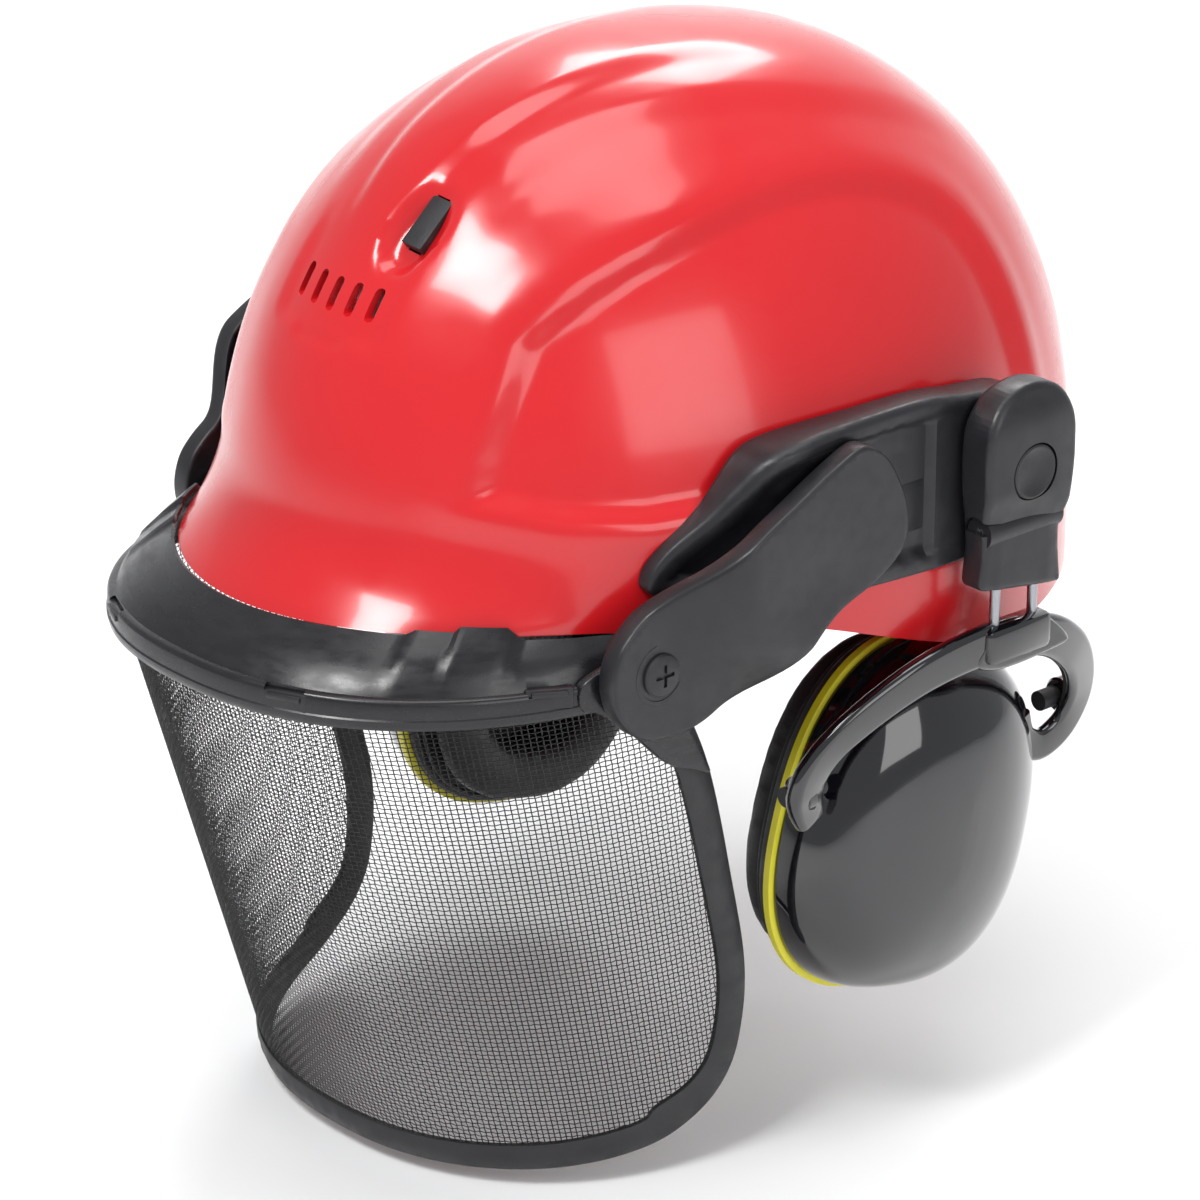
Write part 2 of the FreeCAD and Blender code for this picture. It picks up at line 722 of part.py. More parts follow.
def make_adapter():
    """The plate that plugs into the shell's side slot and carries the arm and the ear muff."""
    body = new_body("adapter_profile", ("90", "0", "0"), SIDEWAYS)
    outline = new_sketch(body, "adapter_outline")
    corners = [(-75, 19), (-74, 30), (-56, 52), (-44, 54), (22, 56), (52, 50), (57, 32), (52, 12), (30, 6), (-40, 9)]
    draw_polygon(outline, [(str(y), str(z)) for y, z in corners])
    add_feature(body, "Pad", "adapter_pad", outline, "40")
    inner, front_inner = "Sizes.adapter_inner", "Sizes.adapter_front_inner"
    thick = "Sizes.adapter_thick"
    plan = side_plan(
        "adapter_plan",
        [(inner, "70"), (inner, "Sizes.adapter_bend_start"), (front_inner, "Sizes.adapter_bend_end"),
         (front_inner, "-90"), (f"{front_inner} + {thick}", "-90"), (f"{front_inner} + {thick}", "Sizes.adapter_bend_end"),
         (f"{inner} + {thick}", "Sizes.adapter_bend_start - 1"), (f"{inner} + {thick}", "70")],
    )
    plate = cut("adapter_plate", common("adapter_bent", body, plan), feature("adapter_room", dome(size("adapter_gap"))))
    face = f"{inner} + {thick}"
    pivot = ("Sizes.lift_pivot_front", "Sizes.lift_pivot_level")
    boss = cylinder("adapter_boss", "Sizes.boss_radius", "Sizes.boss_length + 1", (f"{face} - 1", *pivot))
    half_length, half_height = "Sizes.tongue_half_length", "Sizes.tongue_half_height"
    tongue = box(
        "adapter_tongue", (f"{inner} - 100 + 1", f"2 * {half_length}", f"2 * {half_height}"),
        ("100", f"-{half_length}", f"Sizes.tongue_level - {half_height}"),
    )
    bore_at = ("90", "Sizes.muff_pivot_rear", "Sizes.muff_pivot_level")
    bore = cylinder("adapter_bore", "Sizes.button_shank + Sizes.turning_clearance", "40", bore_at)
    return cut("left_adapter", fuse("adapter_blank", plate, boss, tongue), bore)


# ---------------------------------------------------------------- visor


def bow_wire(half_width, length, centre, level, back):
    """Half an oval, open towards the wearer, closed by a straight line at y = back."""
    count = 12
    points = []
    for i in range(count + 1):
        angle = math.pi * i / count
        across, along = math.cos(angle), math.sin(angle)
        stretch = (abs(across) ** size("frame_power") + along ** size("frame_power")) ** (-1 / size("frame_power"))
        points.append(Vector(half_width * across * stretch, centre - length * along * stretch, level))
    curve = Part.BSplineCurve()
    curve.interpolate(points)
    corner_a, corner_b = Vector(-half_width, back, level), Vector(half_width, back, level)
    edges = [curve.toShape()]
    edges += [Part.LineSegment(a, b).toShape() for a, b in
              ((points[-1], corner_a), (corner_a, corner_b), (corner_b, points[0]))]
    return Part.Wire(edges)


def bow_prism(inset, low, high, back):
    """A solid inside the visor frame's outer outline, drawn in by inset."""
    wire = bow_wire(
        size("frame_half_width") - inset, size("frame_length") - inset, size("frame_centre"), low, back
    )
    return Part.Face(wire).extrude(Vector(0, 0, high - low))


def frame_opening(low, high):
    """The space that the shell's brim sweeps through inside the visor frame."""
    gap = size("brim_clearance")
    edge = (size("brim_half_width") + 0.6, size("brim_length") + gap, size("brim_centre"))
    front, rear = size("shell_front"), size("shell_rear")
    plan = (size("shell_half_width") + gap / 2, (front + rear) / 2 + gap / 2, (rear - front) / 2)
    tools = [Part.Face(oval_wire(*outline, low)).extrude(Vector(0, 0, high - low)) for outline in (edge, plan)]
    return tools[0].fuse(tools[1])


def frame_slope(drop, back):
    """The solid under the frame's top face, which rises from the outer edge towards the brim."""
    outer = (size("frame_half_width"), size("frame_length"), size("frame_centre"))
    inner = (size("frame_half_width") - 1, size("frame_length") - 19, size("frame_centre"))
    low, high = size("frame_top") - drop, size("frame_inner_top") - drop
    return Part.makeLoft([bow_wire(*outer, low, back), bow_wire(*inner, high, back)], True, True)


def make_visor_frame():
    """The bow-shaped carrier: a sloped top face, an outer wall, two side cheeks and two pivot ears."""
    wall = size("frame_wall")
    top, bottom = size("frame_top"), size("frame_bottom")
    skin = frame_slope(0, -60).fuse(bow_prism(0, bottom, top, -60))
    hollow = frame_slope(wall, -40).common(bow_prism(wall, bottom, FAR, -40))
    skin = skin.cut(hollow).cut(bow_prism(wall, bottom - 1, top - wall, -40))
    skin = skin.cut(frame_opening(bottom - 1, 20))
    front, level = size("tilt_pivot_front"), size("tilt_pivot_level")
    near = Part.makeBox(400, 200, 80, Vector(-200, front + 6, -40))
    shape = skin.cut(near)
    outer = size("arm_front_inner") - size("side_gap")
    thick = 3
    ear = Part.makeCylinder(10, thick, Vector(outer - thick, front, level), Vector(1, 0, 0))
    link = Part.makeBox(thick, 26, 9, Vector(outer - thick, front - 24, level - 7.4))
    cheek_side = [(-98, bottom), (-98, -5), (-72, -12), (-64, -26), (-54.5, -42), (-72, -34), (-86, -20)]
    cheek = Part.Face(Part.makePolygon([Vector(outer - 3, y, z) for y, z in cheek_side + cheek_side[:1]]))
    side_piece = ear.fuse(link).fuse(cheek.extrude(Vector(2.6, 0, 0)))
    bore = Part.makeCylinder(size("screw_radius") + size("turning_clearance"), 20,
                             Vector(outer - 12, front, level), Vector(1, 0, 0))
    for piece in both_sides(side_piece.cut(bore)):
        shape = shape.fuse(piece)
    for piece in both_sides(bore):
        shape = shape.cut(piece)
    for tool in clip_blocks(0.3):
        shape = shape.cut(tool)
    return feature("visor_frame", shape)


CLIP_ANGLES = (-62, -24, 24, 62)


def clip_blocks(grow):
    """Small blocks in the frame's outer wall, spread along its bow."""
    blocks = []
    for angle in CLIP_ANGLES:
        turn = math.radians(angle)
        across, along = math.sin(turn), math.cos(turn)
        power = size("frame_power")
        stretch = (abs(across) ** power + along**power) ** (-1 / power)
        spot = Vector(size("frame_half_width") * across * stretch,
                      size("frame_centre") - size("frame_length") * along * stretch, size("frame_bottom") + 3)
        half = size("clip_length") / 2 + grow
        block = Part.makeBox(2 * half, 3.4 + 2 * grow, 7 + 2 * grow, Vector(-half, -0.4 - grow, -grow))
        block.Placement = Placement(spot, Rotation(Vector(0, 0, 1), angle))
        blocks.append(block)
    return blocks


def visor_section(level, grow):
    """One level outline of the leaning visor sheet, moved out by grow."""
    share = (size("frame_bottom") - level) / (size("frame_bottom") - size("mesh_bottom"))
    wall = size("frame_wall")

    def between(start, end):
        return start + (end - start) * share

    half_width = between(size("frame_half_width") - wall - 3, size("mesh_bottom_half_width"))
    centre = between(size("frame_centre"), size("mesh_bottom_centre"))
    front = between(size("frame_centre") - size("frame_length") + wall + 2.4, size("mesh_bottom_front"))
    return bow_wire(half_width + grow, centre - front + grow, centre, level, 60)


def visor_solid(grow):
    """The solid behind the visor sheet."""
    low, high = size("mesh_bottom") - 6, size("frame_bottom") + 8
    return Part.makeLoft([visor_section(low, grow), visor_section(high, grow)], True, True)


def visor_side(inset):
    """The outline of the visor seen from the side, drawn in by inset, as a prism across it."""
    rounding = 14
    top = size("frame_bottom") - 0.3
    corners = [(-200, top), (-66 - inset, top), (-52 - inset, -42), (-36 - inset, -112), (-39 - inset, -150 + inset),
               (-120, size("mesh_bottom") + inset), (-200, size("mesh_bottom") + inset - 12)]
    prism = side_prism(corners)
    edges = [e for e in prism.Edges if e.BoundBox.XLength > FAR
             and -46 - inset < e.BoundBox.YMin < -32 and e.BoundBox.ZMax < -100]
    return prism.makeFillet(rounding, edges)


def visor_skin(thick):
    return visor_solid(thick / 2).cut(visor_solid(-thick / 2))


def make_visor_mesh():
    """The woven wire sheet."""
    return feature("visor_mesh", visor_skin(size("mesh_thick")).common(visor_side(size("binding_width"))))


def make_edge_binding():
    """The plastic binding round the sheet's sides and bottom."""
    rim = visor_side(0).cut(visor_side(size("binding_width")))
    return feature("edge_binding", visor_skin(size("binding_thick")).common(rim))


def make_visor_clips():
    """Four clips that fasten the sheet into the frame."""
    return feature("visor_clips", Part.makeCompound(clip_blocks(0)))


# ---------------------------------------------------------------- ear muffs


def make_muff_bracket():
    """The upper block of the muff holder, which swivels on the button."""
    body = new_body("muff_block", ("Sizes.muff_inner", "0", "0"), SIDEWAYS)
    outline = new_sketch(body, "muff_block_outline")
    middle, half, top = "Sizes.muff_pivot_rear", "Sizes.muff_half_width", "Sizes.muff_top"
    waist, low = "Sizes.muff_waist_half", "Sizes.hinge_level"
    corners = [(f"{middle} - {waist}", low), (f"{middle} + {waist}", low), (f"{middle} + {half}", f"{top} - 24"),
               (f"{middle} + {half} - 1", f"{top} - 6"), (f"{middle} + {half} - 9", top),
               (f"{middle} - {half} + 9", top), (f"{middle} - {half} + 1", f"{top} - 6"),
               (f"{middle} - {half}", f"{top} - 24")]
    draw_polygon(outline, corners)
    add_feature(body, "Pad", "muff_block_pad", outline, "Sizes.muff_thick")
    centre = "Sizes.muff_inner + Sizes.muff_thick / 2"
    recess = cylinder("muff_recess", "Sizes.hinge_barrel + 0.5", "60", (centre, f"{middle} - 30", low), ALONG_Y)
    at = (middle, "Sizes.muff_pivot_level")
    bore = cylinder("muff_bore", "Sizes.button_shank", "60", ("90", *at))
    seat = cylinder("muff_seat", "Sizes.button_radius", "20", ("Sizes.muff_inner + Sizes.muff_thick - 2", *at))
    return cut("left_muff_bracket", body, recess, bore, seat)


def make_muff_button():
    """The pivot pin of the muff holder, with its round head."""
    at = ("Sizes.muff_pivot_rear", "Sizes.muff_pivot_level")
    start = "Sizes.adapter_inner + 0.2"
    end = "Sizes.muff_inner + Sizes.muff_thick - 2"
    shank = cylinder("button_shank_bar", "Sizes.button_shank", f"{end} - ({start})", (start, *at))
    head = cylinder("button_head", "Sizes.button_radius", "2.6", (end, *at))
    return fuse("left_muff_button", shank, head)


def rod_places():
    return [f"Sizes.muff_pivot_rear {sign} Sizes.rod_spacing / 2" for sign in "-+"]


def make_muff_hinge():
    """The lower block, which swings outward about its barrel and guides the two rods."""
    body = new_body("hinge_block", ("Sizes.muff_inner", "0", "0"), SIDEWAYS)
    outline = new_sketch(body, "hinge_block_outline")
    middle, half = "Sizes.muff_pivot_rear", "Sizes.muff_half_width"
    waist, low = "Sizes.muff_waist_half", "Sizes.muff_bottom"
    high = "Sizes.hinge_level - Sizes.hinge_barrel - 1.5"
    corners = [(f"{middle} - {half}", low), (f"{middle} + {half}", low), (f"{middle} + {half}", f"{low} + 4"),
               (f"{middle} + {waist}", high), (f"{middle} - {waist}", high), (f"{middle} - {half}", f"{low} + 4")]
    draw_polygon(outline, corners)
    add_feature(body, "Pad", "hinge_block_pad", outline, "Sizes.muff_thick")
    centre = "Sizes.muff_inner + Sizes.muff_thick / 2"
    start = f"{middle} - {waist}"
    barrel = cylinder("hinge_barrel_bar", "Sizes.hinge_barrel", f"2 * {waist}", (centre, start, "Sizes.hinge_level"), ALONG_Y)
    web = box("hinge_web", ("6", f"2 * {waist}", "6"), (f"{centre} - 3", start, f"{high} - 1"))
    tools = []
    for index, rear in enumerate(rod_places()):
        bore = cylinder(f"rod_bore_{index}", "Sizes.rod_radius + Sizes.turning_clearance", "60",
                        (centre, rear, "Sizes.rod_top - 58"), Rotation())
        tools.append(bore)
    pin_bore = cylinder("hinge_pin_bore", "Sizes.hinge_pin_radius", "60",
                        (centre, f"{middle} - 30", "Sizes.hinge_level"), ALONG_Y)
    return cut("left_muff_hinge", fuse("hinge_blank", body, barrel, web), *tools, pin_bore)


def make_hinge_pin():
    """The pin through the barrel."""
    centre = "Sizes.muff_inner + Sizes.muff_thick / 2"
    start = "Sizes.muff_pivot_rear - Sizes.muff_waist_half"
    length = "2 * Sizes.muff_waist_half"
    return cylinder("left_hinge_pin", "Sizes.hinge_pin_radius", length, (centre, start, "Sizes.hinge_level"), ALONG_Y)


def make_muff_rods():
    """Two steel rods that set the cup's height."""
    centre = "Sizes.muff_inner + Sizes.muff_thick / 2"
    rods = []
    for index, rear in enumerate(rod_places()):
        low = "Sizes.rod_top - Sizes.rod_length"
        rods.append(cylinder(f"rod_{index}", "Sizes.rod_radius", "Sizes.rod_length", (centre, rear, low), Rotation()))
    return group("left_muff_rods", *rods)


def make_yoke():
    """The arched fork over the cup, with a pad at each end for the cup's pins."""
    side, level = size("cup_axis_side"), size("cup_axis_level")
    top_side = size("muff_inner") + size("muff_thick") / 2
    top, front, rear = size("yoke_top_level"), size("yoke_front"), size("yoke_rear")
    middle = size("muff_pivot_rear")
    thick, width = size("yoke_thick"), size("yoke_width")
    path = [Vector(side, front, level), Vector(side + 3, front + 2, level + 18), Vector(side + 9, front + 24, top - 8),
            Vector(top_side, middle - 12, top - 2), Vector(top_side, middle + 10, top - 1),
            Vector(side + 12, rear - 4, top - 12), Vector(side + 5, rear + 4, level + 20), Vector(side, rear, level)]
    curve = Part.BSplineCurve()
    curve.interpolate(path)
    spine = Part.Wire(curve.toShape())
    profile = Part.makePolygon([Vector(x, y, 0) for x, y in
                                ((-thick / 2, -width / 2), (thick / 2, -width / 2), (thick / 2, width / 2),
                                 (-thick / 2, width / 2), (-thick / 2, -width / 2))])
    along = curve.tangent(curve.FirstParameter)[0]
    profile.Placement = Placement(path[0], Rotation(Vector(1, 0, 0), Vector(0, -1, 0), along, "ZXY"))
    sweep = Part.BRepOffsetAPI.MakePipeShell(spine)
    sweep.setBiNormalMode(Vector(1, 0, 0))
    sweep.add(profile, False, False)
    sweep.build()
    sweep.makeSolid()
    shape = sweep.shape()
    pad_length = size("pad_length")
    for y in (front, rear):
        pad = Part.makeCylinder(size("pad_radius"), pad_length, Vector(side, y - pad_length / 2, level), Vector(0, 1, 0))
        shape = shape.fuse(pad)
    block_half = size("rod_spacing") / 2 + 5
    block = Part.makeBox(9, 2 * block_half, 12, Vector(top_side - 4.5, middle - block_half, top - 7))
    shape = shape.fuse(block)
    for y in (front, rear):
        bore = Part.makeCylinder(size("cup_pin_radius") + size("turning_clearance"), 30, Vector(side, y - 15, level),
                                 Vector(0, 1, 0))
        shape = shape.cut(bore)
    for sign in (-1, 1):
        spot = Vector(top_side, middle + sign * size("rod_spacing") / 2, size("rod_top") - size("rod_length"))
        shape = shape.cut(Part.makeCylinder(size("rod_radius"), size("rod_length"), spot))
    return feature("left_yoke", shape)


def cup_rotation():
    """Local X runs up the leaning cup and local Z runs outward along the world X axis."""
    lean = math.radians(size("cup_lean"))
    upward = Vector(0, math.sin(lean), math.cos(lean))
    outward = Vector(1, 0, 0)
    return Rotation(upward, outward.cross(upward), outward, "ZXY")


def cup_oval(name, extra, start, depth):
    """An oval slice of the cup, wider than its outline by extra."""
    major, minor = f"Sizes.cup_half_height + {extra}", f"Sizes.cup_half_width + {extra}"
    position = (start, "Sizes.cup_centre_rear", "Sizes.cup_centre_level")
    return oval(name, major, minor, depth, position, cup_rotation())


def ear_oval(name, start, depth):
    """The oval hole over the ear."""
    position = (start, "Sizes.cup_centre_rear", "Sizes.cup_centre_level")
    return oval(name, "Sizes.ear_half_height", "Sizes.ear_half_width", depth, position, cup_rotation())


def cup_bulge(name, less):
    """The domed outside of the cup, made smaller by less."""
    egg = doc.addObject("Part::Ellipsoid", name)
    bind(egg, {"Radius1": f"Sizes.cup_dome_depth - {less}", "Radius2": f"Sizes.cup_half_height - {less}",
               "Radius3": f"Sizes.cup_half_width - {less}", "Angle1": "-90", "Angle2": "90"})
    position = ("Sizes.cup_inner + Sizes.cup_wall_depth", "Sizes.cup_centre_rear", "Sizes.cup_centre_level")
    return place(egg, position, cup_rotation())


def make_cup_shell():
    """The hollow outer cup: an oval wall closed by a shallow dome."""
    wall = "Sizes.cup_wall"
    outer = fuse("cup_outer", cup_oval("cup_side", "0", "Sizes.cup_inner", "Sizes.cup_wall_depth"),
                 cup_bulge("cup_dome", "0"))
    inner = fuse("cup_hollow",
                 cup_oval("cup_bore", f"-{wall}", "Sizes.cup_inner - 40", "40 + Sizes.cup_wall_depth"),
                 cup_bulge("cup_dome_bore", wall))
    back = box("cup_back", ("60", "300", "300"), ("Sizes.cup_inner - 60", "-125", "-230"))
    return cut("left_cup_shell", outer, inner, back)


def make_cup_slice(name, extra, start, depth):
    """An oval ring of the cup with the ear hole through it."""
    return cut(name, cup_oval(name + "_blank", extra, start, depth), ear_oval(name + "_hole", "50", "60"))


def make_cup_foam():
    """The sound-absorbing foam deep in the cup."""
    return cup_oval("left_cup_foam", "-Sizes.cup_wall - 1", "Sizes.cup_inner + 5", "Sizes.foam_depth")


def make_cup_pins():
    """The two pins on which the cup rocks in its yoke."""
    side, level = "Sizes.cup_axis_side", "Sizes.cup_axis_level"
    pins = []
    length = "14"
    for name, rear in (("front", "Sizes.yoke_front - Sizes.pad_length / 2 - 1"),
                       ("rear", "Sizes.yoke_rear + Sizes.pad_length / 2 + 1 - 14")):
        pins.append(cylinder(f"cup_pin_{name}", "Sizes.cup_pin_radius", length, (side, rear, level), ALONG_Y))
    return group("left_cup_pins", *pins)


def make_left_muff():
    base_start = "Sizes.cup_inner - Sizes.ring_depth - Sizes.base_depth"
    return [
        make_muff_bracket(),
        make_muff_button(),
        make_muff_hinge(),
        make_hinge_pin(),
        make_muff_rods(),
        make_yoke(),
        make_cup_shell(),
        make_cup_slice("left_cup_ring", "Sizes.ring_proud", "Sizes.cup_inner - Sizes.ring_depth", "Sizes.ring_depth"),
        make_cup_slice("left_cup_base", "0", base_start, "Sizes.base_depth"),
        make_cup_foam(),
        make_cup_slice("left_cup_cushion", "-1.5", f"{base_start} - Sizes.cushion_depth", "Sizes.cushion_depth"),
        make_cup_pins(),
    ]


# ---------------------------------------------------------------- assembly


def make_parts():
    middle = [
        make_helmet_shell(),
        make_vent_shutter(),
        make_headband(),
        make_sweatband(),
        make_cradle_straps(),
        make_cradle_clips(),
        make_nape_housing(),
        make_nape_knob(),
        make_nape_pinion(),
        make_band_rack("left_band_rack", 1),
        make_band_rack("right_band_rack", -1),
        make_visor_frame(),
        make_visor_mesh(),
        make_edge_binding(),
        make_visor_clips(),
    ]
    left = [make_adapter(), make_visor_arm(), make_tilt_screw()] + make_left_muff()
    right = [mirrored(piece.Name.replace("left_", "right_"), piece) for piece in left]
    return middle + left + right


def check_document():
    """Stop if any object of the document failed."""
    for thing in doc.Objects:
        if {"Invalid", "Error"} & set(thing.State):
            raise RuntimeError(f"{thing.Name} failed: {thing.State}")


def write_parts(pieces):
    os.makedirs("parts", exist_ok=True)
    for piece in pieces:
        shape = piece.Shape
        if shape.isNull() or not shape.isValid() or not shape.Solids:
            raise RuntimeError(f"{piece.Name} has no valid solid")
    for piece in pieces:
        piece.Label = piece.Name
        piece.Shape.exportStep(f"parts/{piece.Label}.step")


if __name__ == "__main__":
    all_pieces = make_parts()
    doc.recompute()
    check_document()
    write_parts(all_pieces)
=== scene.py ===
"""Looks of the forestry helmet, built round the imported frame.

The sizes here are millimetres. +Z is up, the wearer faces -Y and +X is the wearer's left.
"""

import math

import bmesh
import bpy
import numpy as np
from mathutils import Matrix, Vector, noise


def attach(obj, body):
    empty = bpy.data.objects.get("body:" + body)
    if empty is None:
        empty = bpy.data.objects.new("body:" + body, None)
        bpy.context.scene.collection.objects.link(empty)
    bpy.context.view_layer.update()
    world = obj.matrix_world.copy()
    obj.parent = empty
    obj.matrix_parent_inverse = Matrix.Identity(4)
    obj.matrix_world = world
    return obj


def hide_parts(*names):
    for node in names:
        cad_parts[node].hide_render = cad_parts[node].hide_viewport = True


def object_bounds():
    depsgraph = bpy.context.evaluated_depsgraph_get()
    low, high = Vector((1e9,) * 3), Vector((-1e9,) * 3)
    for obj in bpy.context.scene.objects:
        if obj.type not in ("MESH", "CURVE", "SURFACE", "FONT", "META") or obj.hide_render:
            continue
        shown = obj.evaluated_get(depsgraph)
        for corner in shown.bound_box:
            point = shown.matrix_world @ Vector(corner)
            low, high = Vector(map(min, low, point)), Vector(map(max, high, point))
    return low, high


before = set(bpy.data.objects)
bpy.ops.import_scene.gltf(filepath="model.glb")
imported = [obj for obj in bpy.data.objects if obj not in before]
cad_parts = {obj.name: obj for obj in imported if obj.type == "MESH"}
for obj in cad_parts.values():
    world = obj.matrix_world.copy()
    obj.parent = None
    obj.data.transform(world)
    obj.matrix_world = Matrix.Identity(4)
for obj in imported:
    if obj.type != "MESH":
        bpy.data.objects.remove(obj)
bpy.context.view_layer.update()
MM = 0.001
SIDES = (("left", 1), ("right", -1))

# ---------------------------------------------------------------- sizes, in millimetres

# shell: half its width, its reach to the front and rear, its height and the power of each end's oval
HALF_WIDTH, FRONT, REAR, HEIGHT = 107.0, 135.0, 138.0, 139.5
FRONT_POWER, REAR_POWER = 1.9, 2.1
WALL = 2.6
BRIM = {"half_width": 88.0, "half_length": 112.0, "centre": -39.0, "power": 2.0}
BRIM_LEVEL, FLARE_TOP = 8.0, 34.0
RIM_FRONT, RIM_SIDE, RIM_REAR = 8.0, 3.5, -28.0
VENT_COUNT, VENT_PITCH, VENT_WIDTH, VENT_HEIGHT, VENT_LEVEL = 5, 7.4, 3.0, 8.5, 88.0
TAB_SPOT = (14.6, -88.2, 103.9)

# pivots, as (y, z) for the lines along X
LIFT_PIVOT = (-31.0, 29.5)
TILT_PIVOT = (-80.0, -3.0)
BUTTON_PIVOT = (38.0, 33.0)
HOLDER_Y = BUTTON_PIVOT[0]
HINGE_SIDE, HINGE_LEVEL = 116.9, 16.0
ROD_SPOTS = (HOLDER_Y - 7.5, HOLDER_Y + 7.5)

# visor: the bow, the leaning sheet under it and the sheet's wires
FRAME = {"half_width": 93.0, "length": 123.0, "centre": -48.0}
FRAME_TOP, FRAME_BOTTOM = -2.6, -12.0
CLIP_ANGLES = (-62, -24, 24, 62)
SHEET_TOP, SHEET_BOTTOM = -12.0, -158.0
SHEET = {"half": (87.5, 84.0), "centre": (-48.0, -26.0), "front": (-166.5, -121.0)}
SHEET_ARC = 323.4
MESH_PITCH, WIRE, WEAVE_SWING = 1.55, 0.36, 0.24
EAR_INNER, EAR_OUTER = 88.9, 91.9

# arm, adapter and muff: where their faces lie along X
ARM_INNER, ARM_OUTER, ARM_STEP = 110.9, 117.2, 18.6
ADAPTER_INNER, ADAPTER_OUTER = 100.0, 110.2
HOLDER_INNER, HOLDER_OUTER = 111.0, 122.8
CUP = {"y": 23.5, "z": -80.0, "lean": 14.0, "half_height": 54.0, "half_width": 45.0, "power": 2.36}
CUP_STEPS = 128

# harness: half the width and half the length of the band's and the straps' ovals
BAND_OVAL = (79.0, 99.0)
STRAP_OVAL = (87.2, 107.2)
STRAP_TOP, STRAP_WIDTH = 111.0, 20.0
BROW_LEVEL = 12.0


# ---------------------------------------------------------------- mesh helpers


def to_object(name, vertices, faces, smooth=True):
    """A mesh object from points in millimetres."""
    mesh = bpy.data.meshes.new(name)
    mesh.from_pydata([tuple(c * MM for c in v) for v in vertices], [], [tuple(f) for f in faces])
    mesh.validate()
    piece = bpy.data.objects.new(name, mesh)
    bpy.context.scene.collection.objects.link(piece)
    if smooth:
        mesh.shade_smooth()
    return piece


def apply_modifiers(piece):
    """Turn the evaluated shape into the piece's own mesh."""
    graph = bpy.context.evaluated_depsgraph_get()
    graph.update()
    mesh = bpy.data.meshes.new_from_object(piece.evaluated_get(graph))
    old = piece.data
    piece.modifiers.clear()
    piece.data = mesh
    bpy.data.meshes.remove(old)
    return piece


def bevel(piece, width, segments=3, angle=35):
    mod = piece.modifiers.new("bevel", "BEVEL")
    mod.width = width * MM
    mod.segments = segments
    mod.limit_method = "ANGLE"
    mod.angle_limit = math.radians(angle)
    return piece


def bevel_box(piece, width):
    """Round every edge of a box, for good."""
    return apply_modifiers(bevel(piece, width, 2))


def smooth_by_angle(piece, angle=35):
    """Smooth shading, with creases sharper than the angle kept."""
    mesh = piece.data
    mesh.shade_smooth()
    work = bmesh.new()
    work.from_mesh(mesh)
    for edge in work.edges:
        edge.smooth = not (len(edge.link_faces) == 2 and edge.calc_face_angle(0) > math.radians(angle))
    work.to_mesh(mesh)
    work.free()
    return piece


def cut_away(piece, *tools):
    """Subtract the tools from the piece, then throw them away."""
    for tool in tools:
        mod = piece.modifiers.new("cut", "BOOLEAN")
        mod.operation = "DIFFERENCE"
        mod.solver = "EXACT"
        mod.object = tool
    apply_modifiers(piece)
    for tool in tools:
        bpy.data.objects.remove(tool, do_unlink=True)
    return piece


def join(name, pieces):
    """One mesh object from several."""
    work = bmesh.new()
    for piece in pieces:
        part = bmesh.new()
        part.from_mesh(piece.data)
        part.transform(piece.matrix_world)
        spare = bpy.data.meshes.new("spare")
        part.to_mesh(spare)
        part.free()
        work.from_mesh(spare)
        bpy.data.meshes.remove(spare)
    mesh = bpy.data.meshes.new(name)
    work.to_mesh(mesh)
    work.free()
    result = bpy.data.objects.new(name, mesh)
    bpy.context.scene.collection.objects.link(result)
    for piece in pieces:
        bpy.data.objects.remove(piece, do_unlink=True)
    return result


def spline(points, count, closed=False):
    """Points on a smooth curve through the given ones."""
    points = np.array(points, float)
    number = len(points)
    spans = number if closed else number - 1
    result = []
    for i in range(count):
        place = i * spans / (count if closed else count - 1)
        span = min(int(place), spans - 1)
        t = place - span
        index = [span - 1, span, span + 1, span + 2]
        if closed:
            p = [points[k % number] for k in index]
        else:
            p = [points[min(max(k, 0), number - 1)] for k in index]
        result.append(
            0.5 * ((2 * p[1]) + (p[2] - p[0]) * t + (2 * p[0] - 5 * p[1] + 4 * p[2] - p[3]) * t**2
                   + (3 * p[1] - p[0] - 3 * p[2] + p[3]) * t**3)
        )
    return np.array(result)


def rings_to_object(name, rings, cap=True):
    """A skin over rings of equal point counts, capped at both ends."""
    rings = np.array(rings, float)
    rows, columns = rings.shape[:2]
    vertices = rings.reshape(-1, 3)
    faces = []
    for i in range(rows - 1):
        for j in range(columns):
            k = (j + 1) % columns
            faces.append((i * columns + j, i * columns + k, (i + 1) * columns + k, (i + 1) * columns + j))
    if cap:
        faces.append(tuple(reversed(range(columns))))
        faces.append(tuple((rows - 1) * columns + j for j in range(columns)))
    return to_object(name, vertices, faces)


def sweep(name, path, section, across=(1, 0, 0), scale=None):
    """A section of (side, out) points carried along a path; side stays close to the given direction."""
    path = np.array(path, float)
    rings = []
    for i, spot in enumerate(path):
        way = path[min(i + 1, len(path) - 1)] - path[max(i - 1, 0)]
        way /= np.linalg.norm(way)
        side = np.array(across, float) - way * np.dot(across, way)
        side /= np.linalg.norm(side)
        out = np.cross(way, side)
        size = 1.0 if scale is None else scale[i]
        rings.append([spot + side * a * size + out * b * size for a, b in section])
    return rings_to_object(name, rings)


def round_section(width, depth, corner, steps=4):
    """A rounded rectangle of (side, out) points."""
    points = []
    for sign_a, sign_b, start in ((1, 1, 0), (-1, 1, 90), (-1, -1, 180), (1, -1, 270)):
        for step in range(steps + 1):
            angle = math.radians(start + 90 * step / steps)
            points.append((sign_a * (width / 2 - corner) + corner * math.cos(angle),
                           sign_b * (depth / 2 - corner) + corner * math.sin(angle)))
    return points


